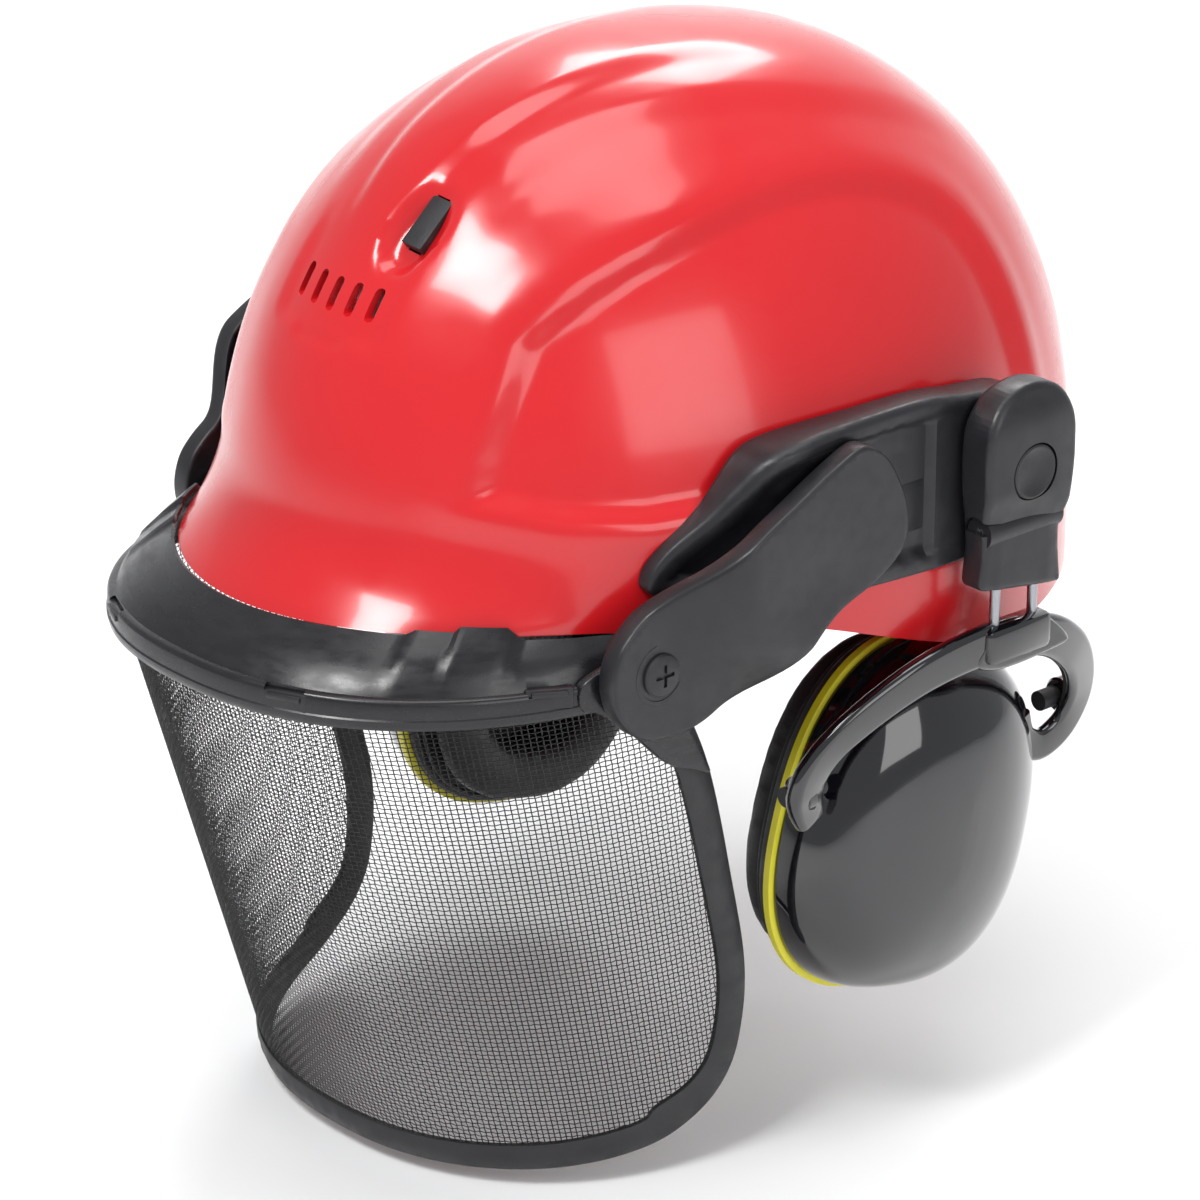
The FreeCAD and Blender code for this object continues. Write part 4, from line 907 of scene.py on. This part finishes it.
def arm_shift(y, z):
    """The arm's front end steps inward to sit beside the visor's ear, by its distance from the lift pivot."""
    return -ARM_STEP * ease(math.hypot(y - LIFT_PIVOT[0], z - LIFT_PIVOT[1]), 30, 57)


def make_arm():
    """A charcoal cover with a soft hollow in its face and a boss into the adapter."""

    def dish(y, z):
        return 0.6 - 0.9 * math.exp(-((y + 40) / 22) ** 2 - ((z - 16) / 12) ** 2)

    outline = spline(ARM_OUTLINE, 130, closed=True)
    slab = side_slab("arm_slab", outline, ARM_INNER, ARM_OUTER, 1.1, 3, 44, arm_shift, dish)
    boss = disc("arm_boss", 8.8, 109.5, 112.5, *LIFT_PIVOT)
    arm = cut_away(join("left_arm", [slab, boss]), disc("arm_bore", 3.05, 80, 130, *TILT_PIVOT))
    profile = ((97.4, 9.4), (99.0, 9.4), (99.4, 9.0), (99.4, 7.8), (98.7, 7.2), (97.4, 7.2))
    collar = turned("screw_collar", profile, *TILT_PIVOT, steps=56)
    return smooth_by_angle(join("left_arm", [arm, collar]), 38)


def make_screw():
    """The tilt screw: a domed head with a cross recess."""
    y, z = TILT_PIVOT
    profile = ((88.6, 2.9), (99.1, 2.9), (99.1, 6.3), (99.9, 6.3), (100.5, 5.8), (100.9, 4.6), (101.1, 2.6))
    screw = turned("screw", profile, y, z, steps=39)
    cross = [blocky("cross_a", (100.2, y - 3.3, z - 0.6), (102, y + 3.3, z + 0.6)),
             blocky("cross_b", (100.2, y - 0.6, z - 3.3), (102, y + 0.6, z + 3.3))]
    return smooth_by_angle(cut_away(screw, *cross), 30)


ADAPTER_OUTLINE = [(-75, 16), (-76.5, 21.5), (-72, 28), (-62, 37), (-55.5, 44.5), (-48, 52.5), (-39, 56),
                   (-22, 57.5), (8, 57.5), (26, 55), (46, 51.5), (55, 44), (58, 32), (53, 14), (30, 6), (-10, 7),
                   (-38, 9), (-60, 12)]
ADAPTER_RIM = spline(ADAPTER_OUTLINE, 90, closed=True).tolist()


def shell_side(y, z):
    """Half the plain shell's width at a spot seen from the side."""
    reach, power = (FRONT, FRONT_POWER) if y < 0 else (REAR, REAR_POWER)
    share = math.sqrt(max(0.0, 1 - (z / HEIGHT) ** 2))
    return HALF_WIDTH * share * max(0.0, 1 - abs(y / (reach * share)) ** power) ** (1 / power)


def make_adapter():
    """The block beside the shell's side slot: it is deep to the shell, with a rolled rim round a sunk field."""
    plate = side_slab("adapter_block", ADAPTER_RIM, ADAPTER_INNER, ADAPTER_OUTER, 2.2, 4, 60)
    for vertex in plate.data.vertices:
        x, y, z = (c / MM for c in vertex.co)
        face = ADAPTER_OUTER - ARM_STEP * (1 - ease(y, -80, -36))
        rim = min(math.hypot(y - a, z - b) for a, b in ADAPTER_RIM)
        sunk = 0.2 + 2.6 * ease(rim, 4.5, 8.0) if y < 13 else 0.6 * ease(rim, 3, 6)
        share = (x - ADAPTER_INNER) / (ADAPTER_OUTER - ADAPTER_INNER)
        near = min(shell_side(y, z) + 0.7, face - 1.6)
        vertex.co.x = (near + (face - near) * share - sunk * ease(share, 0.5, 1.0)) * MM
    tongue = bevel_box(blocky("tongue", (99.5, -10.8, 18.2), (107.6, 10.8, 33.8)), 0.8)
    bores = [disc("lift_bore", 9.05, 90, 130, *LIFT_PIVOT), disc("muff_bore", 5.0, 90, 130, *BUTTON_PIVOT)]
    return smooth_by_angle(join("left_adapter_plate", [cut_away(plate, *bores), tongue]), 38)


# ---------------------------------------------------------------- muff holder, yoke and cup


def holder_form(name):
    """The muff holder's outer form, from its round top down to its flared foot."""
    top = [(-17.5, 40), (-16.5, 49), (-10, 56.5), (2, 59), (13, 55.5), (17.8, 46), (18, 32), (16.5, 22), (14.5, 14)]
    low = [(14.8, 5), (15.8, -3), (16, -5.8), (-16.5, -0.6), (-16.2, 4), (-15.2, 10), (-15.6, 18), (-17.2, 28)]
    outline = round_corners([(HOLDER_Y + y, z) for y, z in top + low], 5)

    def dish(y, z):
        away = y - HOLDER_Y
        middle = math.exp(-(away / 15) ** 4)
        sweep_line = 25 - 0.012 * away**2 - 0.25 * away
        step = ease(z, sweep_line - 9, sweep_line + 4)
        top_fall = ease(z, 42, 58)
        side_fall = ease(abs(away), 9, 16)
        return 1.4 * step * middle - 1.9 * (1 - step) - 2.6 * top_fall**2 - 0.9 * side_fall * (1 - step)

    return side_slab(name, outline, HOLDER_INNER, HOLDER_OUTER, 2.2, 5, 54, None, dish)


def hinge_bar(name, radius, half_length):
    """A round bar on the swing hinge's line."""
    return disc(name, radius, HOLDER_Y - half_length, HOLDER_Y + half_length, HINGE_SIDE, HINGE_LEVEL, "y")


def holder_box(name, low, high):
    """A box that is wider than the holder, between two heights."""
    return blocky(name, (100, HOLDER_Y - 30, low), (140, HOLDER_Y + 30, high))


def make_holder():
    """The upper cover, over the round release button; it ends in a socket over the hinge barrel."""
    tools = [disc("button_hole", 8.6, 116, 130, *BUTTON_PIVOT), disc("holder_bore", 5.05, 105, 118, *BUTTON_PIVOT),
             holder_box("holder_foot", -40, 16.2), hinge_bar("barrel_room", 5.1, 30)]
    return smooth_by_angle(cut_away(holder_form("holder_slab"), *tools), 36)


def make_button():
    """The round release button, with a shallow dish inside its rim, and its shank."""
    profile = ((108.8, 4.8), (117.2, 4.8), (117.2, 8.2), (123.4, 8.2), (123.9, 7.9), (124.1, 7.3),
               (123.8, 6.5), (123.3, 5.6), (123.2, 1))
    return smooth_by_angle(turned("button", profile, *BUTTON_PIVOT, steps=56), 30)


def make_hinge():
    """The lower cover: it carries on the holder's outline, turns on its barrel and guides the two rods."""
    tools = [holder_box("hinge_top", 15.9, 90)]
    tools += [disc("rod_bore", 1.62, -30, 7.4, HINGE_SIDE, y, "z", 28) for y in ROD_SPOTS]
    block = cut_away(holder_form("hinge_slab"), *tools)
    return smooth_by_angle(join("hinge", [block, hinge_bar("hinge_barrel", 4.7, 14.4)]), 35)


def make_rods():
    """The two steel rods, with chamfered ends."""
    profile = ((-19.6, 1.1), (-19.2, 1.5), (6.8, 1.5), (7.2, 1.1))
    rods = [turned("rod", profile, HINGE_SIDE, y, "z", 24) for y in ROD_SPOTS]
    return smooth_by_angle(join("rods", rods), 35)


YOKE_PATH = [(102.5, -26.5, -62), (103.5, -29.5, -54), (105.5, -28.5, -46), (108.5, -22.5, -37.5), (112, -10, -29),
             (114.6, 6, -22.5), (116.2, 24, -19.5), (116.6, 40, -20), (115, 55, -24.5), (112, 67, -33),
             (108.5, 74.5, -43), (105.5, 77, -53), (103.5, 73.5, -62), (103, 65, -66), (103.4, 57.5, -62),
             (104.2, 54.5, -54)]


def make_yoke():
    """The glossy fork: a broad band over the cup, a pad in front and an open curl behind."""
    count = 110
    widths = np.interp(np.linspace(0, 1, count), [0, 0.08, 0.2, 0.45, 0.6, 0.78, 1.0],
                       [0.95, 1.25, 1.0, 1.15, 1.2, 0.95, 0.8])
    section = round_section(4.6, 11.0, 2.1, 5)
    band = sweep("yoke_band", spline(YOKE_PATH, count), section, (1, 0.12, 0), widths)
    seat = bevel_box(blocky("yoke_seat", (112.6, HOLDER_Y - 12.6, -25), (121, HOLDER_Y + 12.6, -13.6)), 2.4)
    pads = []
    for y, inward in ((-30, 1), (77, -1)):
        profile = sorted((y + depth * inward, radius) for depth, radius in ((-1.2, 4.2), (0, 5.6), (2.5, 5.6), (3.2, 4.9)))
        pads.append(turned("yoke_pad", profile, 101.2, -54, "y", 36))
    arch = [(-16, -24), (-12, -17), (-6, -14), (6, -14), (14, -17), (22, -26), (10, -28), (-6, -28)]
    outline = spline([(HOLDER_Y + y, z) for y, z in arch], 50, closed=True)
    web = side_slab("yoke_web", outline, 113.4, 119.0, 2.0, 4, 16)
    return smooth_by_angle(join("left_yoke_band", [band, seat, web] + pads), 40)


def cup_ring(x, grow, steps=CUP_STEPS):
    """A ring of the cup: an egg shape that is broader at the bottom, leaning with its top to the rear."""
    lean = math.radians(CUP["lean"])
    up = np.array((0, math.sin(lean), math.cos(lean)))
    side = np.array((0, math.cos(lean), -math.sin(lean)))
    centre = np.array((x, CUP["y"], CUP["z"]))
    power = CUP["power"]
    ring = []
    for angle in turn_angles(steps):
        rise, run = math.cos(angle), math.sin(angle)
        fat = 1 - 0.045 * rise
        reach = (abs(rise) ** power + abs(run) ** power) ** (-1 / power)
        high = (CUP["half_height"] + grow) * rise * reach
        wide = (CUP["half_width"] + grow) * run * reach * fat
        ring.append(centre + up * high + side * wide)
    return ring


def cup_bowl():
    """Outer face from the middle to the rim, then the inner face back to the middle."""
    outer = spline([(115.4, -44.0), (115.2, -40.0), (114.5, -33.5), (113.2, -26.5), (111.2, -20.0),
                    (108.4, -14.0), (104.8, -8.8), (100.2, -4.6), (95.0, -1.9), (90.0, -0.5), (85.6, 0.0),
                    (85.1, -0.5)], 60)
    inner = [(85.1, -2.6)] + [(x - 2.4, grow - 1.2) for x, grow in outer[::-1][6:]]
    bowl = rings_to_object("cup_bowl", [cup_ring(x, grow) for x, grow in list(outer) + inner])
    return smooth_by_angle(bowl, 40)


def cup_hoop(name, section):
    """A hoop that follows the cup's outline, from a closed section of (x, grow) points."""
    hoop = rings_to_object(name, [cup_ring(x, grow) for x, grow in section + section[:1]], cap=False)
    return smooth_by_angle(hoop, 35)


def make_cup_trim():
    """The yellow hoop."""
    return cup_hoop("cup_trim", [(85.0, -2.8), (85.0, 1.0), (84.7, 1.5), (82.4, 1.5), (82.1, 1.0), (82.1, -2.8),
                                 (82.1, -7), (85.0, -7)])


def make_cup_plate():
    """The black hoop under the yellow one, which holds the cushion."""
    return cup_hoop("cup_plate", [(82.0, -7.0), (82.0, -0.8), (81.6, -0.2), (79.2, -0.2), (78.3, -0.8),
                                  (78.1, -2.0), (78.1, -19), (82.0, -19)])


# ---------------------------------------------------------------- soft pieces


CLOTH_FRAMES = 20


def settle(piece, held, pressure, cap, voxel=2.6):
    """Remesh the form, let the cloth solver plump it with its held points fixed, and keep the result."""
    remesh = piece.modifiers.new("remesh", "REMESH")
    remesh.mode = "VOXEL"
    remesh.voxel_size = voxel * MM
    apply_modifiers(piece)
    start = np.array([tuple(v.co) for v in piece.data.vertices])
    group = piece.vertex_groups.new(name="held")
    group.add([i for i, spot in enumerate(start) if held(spot / MM)], 1.0, "REPLACE")
    cloth = piece.modifiers.new("cloth", "CLOTH")
    cloth.settings.use_pressure = True
    cloth.settings.uniform_pressure_force = pressure
    cloth.settings.effector_weights.gravity = 0
    cloth.settings.vertex_group_mass = "held"
    cloth.settings.tension_stiffness = 12
    cloth.settings.bending_stiffness = 0.4
    cloth.point_cache.frame_start = 1
    cloth.point_cache.frame_end = CLOTH_FRAMES
    for step in range(1, CLOTH_FRAMES + 1):
        bpy.context.scene.frame_set(step)
    apply_modifiers(piece)
    bpy.context.scene.frame_set(1)
    # no point may move further than the cap
    for vertex, spot in zip(piece.data.vertices, start):
        move = np.array(tuple(vertex.co)) - spot
        far = float(np.linalg.norm(move))
        if far > cap * MM:
            vertex.co = Vector(spot + move * (cap * MM / far))
    smoother = piece.modifiers.new("smoother", "CORRECTIVE_SMOOTH")
    smoother.iterations = 4
    smoother.smooth_type = "SIMPLE"
    subdivide = piece.modifiers.new("subdivide", "SUBSURF")
    subdivide.levels = 1
    apply_modifiers(piece)
    piece.data.shade_smooth()
    return piece


def torus_rings(x, grow, deep, fat, sections=20, steps=96):
    """A ring of oval section that follows the cup's outline."""
    turns = [2 * math.pi * i / sections for i in range(sections + 1)]
    return [cup_ring(x + deep * math.cos(a), grow + fat * math.sin(a), steps) for a in turns]


def make_cushion():
    """The sealing ring: a plump padded skin, gathered in small folds at its inner hole."""
    form = rings_to_object("cushion_form", torus_rings(71.0, -12.0, 6.0, 8.6), cap=False)
    settle(form, lambda spot: spot[0] > 76.2, 4.0, 1.1)
    lean = math.radians(CUP["lean"])
    for vertex in form.data.vertices:
        x, y, z = (c / MM for c in vertex.co)
        dy, dz = y - CUP["y"], z - CUP["z"]
        rise = dz * math.cos(lean) + dy * math.sin(lean)
        run = dy * math.cos(lean) - dz * math.sin(lean)
        angle = math.atan2(run / CUP["half_width"], rise / CUP["half_height"])
        reach = math.hypot(run / CUP["half_width"], rise / CUP["half_height"])
        inner = math.exp(-((reach - 0.62) / 0.07) ** 2)
        fold = 0.55 * inner * math.sin(46 * angle + 1.6 * math.sin(5 * angle))
        vertex.co.y += dy / math.hypot(dy, dz) * fold * MM
        vertex.co.z += dz / math.hypot(dy, dz) * fold * MM
    return form


def make_cushion_seam():
    """The raised welded seam round the cushion's outer side."""
    return rings_to_object("cushion_seam", torus_rings(76.6, -2.4, 0.75, 0.75, 10, 160), cap=False)


def make_foam():
    """The open-cell pad inside the cup, crowned, with an uneven skin."""
    levels = [(90.4, -40), (90.2, -26), (90.6, -16.5), (92.2, -14.2), (94.5, -14.0), (96.4, -15.6),
              (97.0, -19), (97.0, -40)]
    foam = rings_to_object("foam_pad", [cup_ring(x, grow, 96) for x, grow in spline(levels, 26)])
    for vertex in foam.data.vertices:
        vertex.co.x -= 0.9 * MM * (noise.noise(vertex.co * 90) + 0.4)
    return foam


def band_point(angle, out, level):
    """A point on the headband's oval: the angle runs from the front through the wearer's left."""
    across, along = math.sin(angle), -math.cos(angle)
    half, length = (size + out for size in BAND_OVAL)
    reach = 1 / math.hypot(across / half, along / length)
    return (reach * across, reach * along, level)


def make_headband():
    """The band with rolled edges, long slots, two strap lugs and six hangers up to the straps."""
    limit = math.radians(149)
    section = [(0.1, -3.4), (0.0, -2.6), (0.0, 27.0), (0.1, 27.7), (0.5, 28.0), (1.5, 28.0), (1.9, 27.7),
               (2.0, 27.0), (2.0, -2.6), (1.9, -3.5), (1.5, -4.0), (0.5, -4.0)]
    rings = [[band_point(angle, out, level) for out, level in section] for angle in np.linspace(-limit, limit, 181)]
    band = rings_to_object("band", rings)
    tools = []
    for degrees in (-128, -96, -62, -30, 30, 62, 96, 128):
        x, y, _ = band_point(math.radians(degrees), 0, 0)
        tool = set_at(blocky("band_slot", (-7, -8, 16), (7, 8, 20.5)), x, y, degrees)
        tools.append(bevel_box(tool, 1.2))
    parts = [cut_away(band, *tools)]
    for degrees in (30, 90, 150, 210, 270, 330):
        hanger = bevel_box(blocky("hanger", (-2.2, -6.8, 24), (-0.2, 6.8, 39.5)), 0.8)
        x, y, _ = band_point(math.radians(degrees + 90), 2.0, 0)
        parts.append(set_at(hanger, x, y, degrees))
    outline = round_corners([(2, -2), (14, -2), (14, -12), (2, -12)], 4)
    lug = side_slab("lug", outline, 79.2, 81.0, 0.4, 2, 4)
    lug = cut_away(lug, disc("lug_bore", 3.0, 70, 90, 8, -8))
    piece = join("headband_shell", parts + [lug, mirrored(lug, "lug_twin")])
    smooth_by_angle(piece, 40)
    return finish_piece(piece, "harness", "helmet", "harness_plastic", "headband")


def make_sweatband():
    """The padded brow lining, plumped by the cloth solver and quilted with upright seams."""
    limit = math.radians(76)
    rings = []
    for angle in np.linspace(-limit, limit, 101):
        rings.append([band_point(angle, -2.2 + 1.5 * math.cos(a), BROW_LEVEL + 13.0 * math.sin(a))
                      for a in turn_angles(20)])
    pad = rings_to_object("brow_pad", rings)
    settle(pad, lambda spot: abs(spot[2] - BROW_LEVEL) > 12.2, 3.0, 0.5, 1.9)
    for vertex in pad.data.vertices:
        x, y, z = (c / MM for c in vertex.co)
        angle = math.atan2(x, -y)
        seam = math.exp(-(math.sin(9 * angle) / 0.12) ** 2) * (1 - abs(z - BROW_LEVEL) / 14)
        inside = 1 if math.hypot(x / 76.8, y / 96.8) < 1 else 0
        vertex.co.x += 0.9 * seam * inside * math.sin(angle) * MM
        vertex.co.y -= 0.9 * seam * inside * math.cos(angle) * MM
    finish_piece(pad, "knit", "helmet", "sweatband", "sweatband")
    return pad


def make_straps():
    """Three webbing straps that cross over the head, each a little above the last."""
    pieces = []
    half_width, half_length = STRAP_OVAL
    for index, degrees in enumerate((30, 90, 150)):
        turn = math.radians(degrees)
        way = Vector((math.cos(turn), math.sin(turn)))
        reach = 1 / math.hypot(way.x / half_width, way.y / half_length)
        top = STRAP_TOP + 0.5 * index
        rings = []
        for climb in np.linspace(math.radians(20.5), math.radians(159.5), 121):
            run = reach * math.cos(climb)
            ring = []
            for side, out in round_section(STRAP_WIDTH, 1.5, 0.6, 2):
                x = way.x * run - way.y * side
                y = way.y * run + way.x * side
                rise = math.sqrt(max(0.0, 1 - (x / half_width) ** 2 - (y / half_length) ** 2))
                ring.append((x, y, top * rise + out))
            rings.append(ring)
        pieces.append(rings_to_object("strap", rings))
    piece = join("crown_straps", pieces)
    smooth_by_angle(piece, 40)
    return finish_piece(piece, "web", "helmet", "webbing", "cradle_straps")


def soften_node(node, look, slot, body, width=0.6, angle=30):
    """A rounded copy of a frame node that stands for it."""
    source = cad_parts[node]
    piece = source.copy()
    piece.data = source.data.copy()
    piece.parent = None
    piece.matrix_world = source.matrix_world.copy()
    piece.name = node + "_soft"
    bpy.context.scene.collection.objects.link(piece)
    work = bmesh.new()
    work.from_mesh(piece.data)
    bmesh.ops.remove_doubles(work, verts=work.verts, dist=1e-6)
    bmesh.ops.dissolve_limit(work, angle_limit=math.radians(1.2), verts=work.verts, edges=work.edges)
    work.to_mesh(piece.data)
    work.free()
    bevel(piece, width, 3, angle)
    apply_modifiers(piece)
    smooth_by_angle(piece, 38)
    return finish_piece(piece, look, body, slot, node)


# ---------------------------------------------------------------- nape ratchet


def make_knob():
    """The ratchet knob: a fluted rim, a domed cap and its shaft."""
    rings = []
    for y, r, flute in ((101.5, 14.8, 0.0), (101.9, 15.5, 0.6), (103, 15.8, 1.0), (110.5, 15.8, 1.0),
                        (112.3, 15.0, 0.9), (113.2, 13.4, 0.3), (113.3, 12.0, 0), (112.7, 11.2, 0),
                        (112.5, 8, 0), (112.9, 3, 0)):
        ring = []
        for a in turn_angles(144):
            wave = r - flute * (0.5 - 0.5 * math.cos(24 * a)) ** 1.5
            ring.append((wave * math.cos(a), y, wave * math.sin(a)))
        rings.append(ring)
    knob = rings_to_object("knob_cap", rings)
    shaft = disc("knob_shaft", 2.45, 98.6, 101.6, 0, 0, "y", 36)
    piece = join("nape_knob_cap", [knob, shaft])
    smooth_by_angle(piece, 34)
    return finish_piece(piece, "grained", "nape_knob", "black_plastic", "nape_knob")


# ---------------------------------------------------------------- build every piece


def dress_both_sides(piece, stem, look, slot, body, *nodes):
    """Finish a left piece and its right twin; nodes are named without their side."""
    twin = mirrored(piece, "right_" + stem)
    piece.name = "left_" + stem
    for part, side in ((piece, "left"), (twin, "right")):
        owner = body if body in ("helmet", "visor_arms", "visor") else f"{side}_{body}"
        finish_piece(part, look, owner, slot, *[f"{side}_{node}" for node in nodes])
    return piece, twin


def build_sides():
    """Everything that comes in a left and right pair."""
    dress_both_sides(make_arm(), "arm_cover", "satin", "satin_black", "visor_arms", "visor_arm")
    dress_both_sides(make_screw(), "tilt_screw_head", "grained", "black_plastic", "visor_arms", "tilt_screw")
    dress_both_sides(make_adapter(), "adapter_plate", "satin", "satin_black", "helmet", "adapter")
    dress_both_sides(make_holder(), "holder_cover", "satin", "satin_black", "muff_holder", "muff_bracket")
    dress_both_sides(make_button(), "holder_button", "grained", "black_plastic", "muff_holder", "muff_button")
    dress_both_sides(make_hinge(), "hinge_block", "satin", "satin_black", "muff_hinge", "muff_hinge")
    dress_both_sides(make_rods(), "fork_rods", "steel", "steel", "yoke", "muff_rods")
    dress_both_sides(make_yoke(), "fork", "gloss", "gloss_black", "yoke", "yoke")
    dress_both_sides(cup_bowl(), "cup_bowl", "gloss", "gloss_black", "cup", "cup_shell")
    dress_both_sides(make_cup_trim(), "cup_trim", "yellow", "yellow_trim", "cup", "cup_ring")
    dress_both_sides(make_cup_plate(), "cup_plate", "grained", "black_plastic", "cup", "cup_base")
    for pad in dress_both_sides(make_foam(), "cup_foam_pad", "foam", "foam", "cup", "cup_foam"):
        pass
    for pad in dress_both_sides(make_cushion(), "cushion_skin", "skin", "cushion_skin", "cup", "cup_cushion"):
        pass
    dress_both_sides(make_cushion_seam(), "cushion_seam", "skin", "cushion_skin", "cup")
    for side, _ in SIDES:
        dress_node(f"{side}_hinge_pin", "steel")
        dress_node(f"{side}_cup_pins", "grained")
        dress_node(f"{side}_band_rack", "harness")


def build_helmet():
    """The shell, the harness, the nape ratchet and the vent shutter."""
    make_shell()
    make_headband()
    make_sweatband()
    make_straps()
    make_knob()
    soften_node("cradle_clips", "harness", "harness_plastic", "helmet", 1.4)
    soften_node("nape_housing", "harness", "harness_plastic", "helmet", 0.9)
    soften_node("vent_shutter", "grained", "black_plastic", "vent_shutter", 0.5)
    dress_node("nape_pinion", "harness")


def build_visor():
    """The bow, the wire sheet and what holds it."""
    make_visor_frame()
    make_binding()
    make_wires()
    make_clips()


def build_studio():
    """A pale floor that sweeps up behind, four soft lights and a pale sky."""
    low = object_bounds()[0][2] / MM - 0.6
    rises = [(-2600, 0), (-900, 0), (900, 0), (1500, 60), (1900, 380), (2100, 1100), (2150, 2600)]
    curve = spline([(y, low + rise) for y, rise in rises], 60)
    turn = Matrix.Rotation(math.radians(42), 4, "Z")
    vertices, faces = [], []
    for y, z in curve:
        for x in (-3200, 3200):
            vertices.append(tuple(turn @ Vector((x, y, z))))
    for i in range(len(curve) - 1):
        faces.append((2 * i, 2 * i + 1, 2 * i + 3, 2 * i + 2))
    floor = to_object("studio_floor", vertices, faces)
    paper = Shader("studio_paper", (0.97, 0.97, 0.97), 0.75)
    paper.vary_roughness(paper.noise(3, 2), 0.6, 0.7)
    floor.data.materials.append(paper.material)
    aim = Vector((0, 0.02, 0.02))
    for name, spot, watts, size in (("key", (0.2, -1.3, 1.9), 30, 0.7), ("fill", (2.1, -0.2, 0.9), 12, 1.2),
                                    ("rear", (-1.3, 1.5, 1.7), 26, 1.0), ("top", (0.1, 0.2, 2.3), 16, 1.2)):
        light = bpy.data.lights.new(name, "AREA")
        light.energy = watts
        light.size = size
        lamp = bpy.data.objects.new(name, light)
        lamp.location = spot
        lamp.rotation_euler = (aim - Vector(spot)).to_track_quat("-Z", "Y").to_euler()
        bpy.context.scene.collection.objects.link(lamp)
    world = bpy.data.worlds.new("studio")
    bpy.context.scene.world = world
    world.use_nodes = True
    back = world.node_tree.nodes["Background"]
    back.inputs["Color"].default_value = (0.95, 0.97, 1.0, 1)
    back.inputs["Strength"].default_value = 0.5
    bpy.context.scene.view_settings.view_transform = "Standard"


def place_camera():
    """A long lens from the front left, a little above the helmet."""
    lens = bpy.data.cameras.new("camera")
    lens.lens = 165.6
    lens.sensor_width = 36
    lens.clip_start = 0.05
    lens.clip_end = 20
    camera = bpy.data.objects.new("camera", lens)
    camera.location = (1.126, -0.996, 0.607)
    look = Vector((0.0148, -0.0286, -0.0225)) - camera.location
    camera.rotation_euler = look.to_track_quat("-Z", "Y").to_euler()
    bpy.context.scene.collection.objects.link(camera)
    bpy.context.scene.camera = camera


build_helmet()
build_visor()
build_sides()
build_studio()
place_camera()
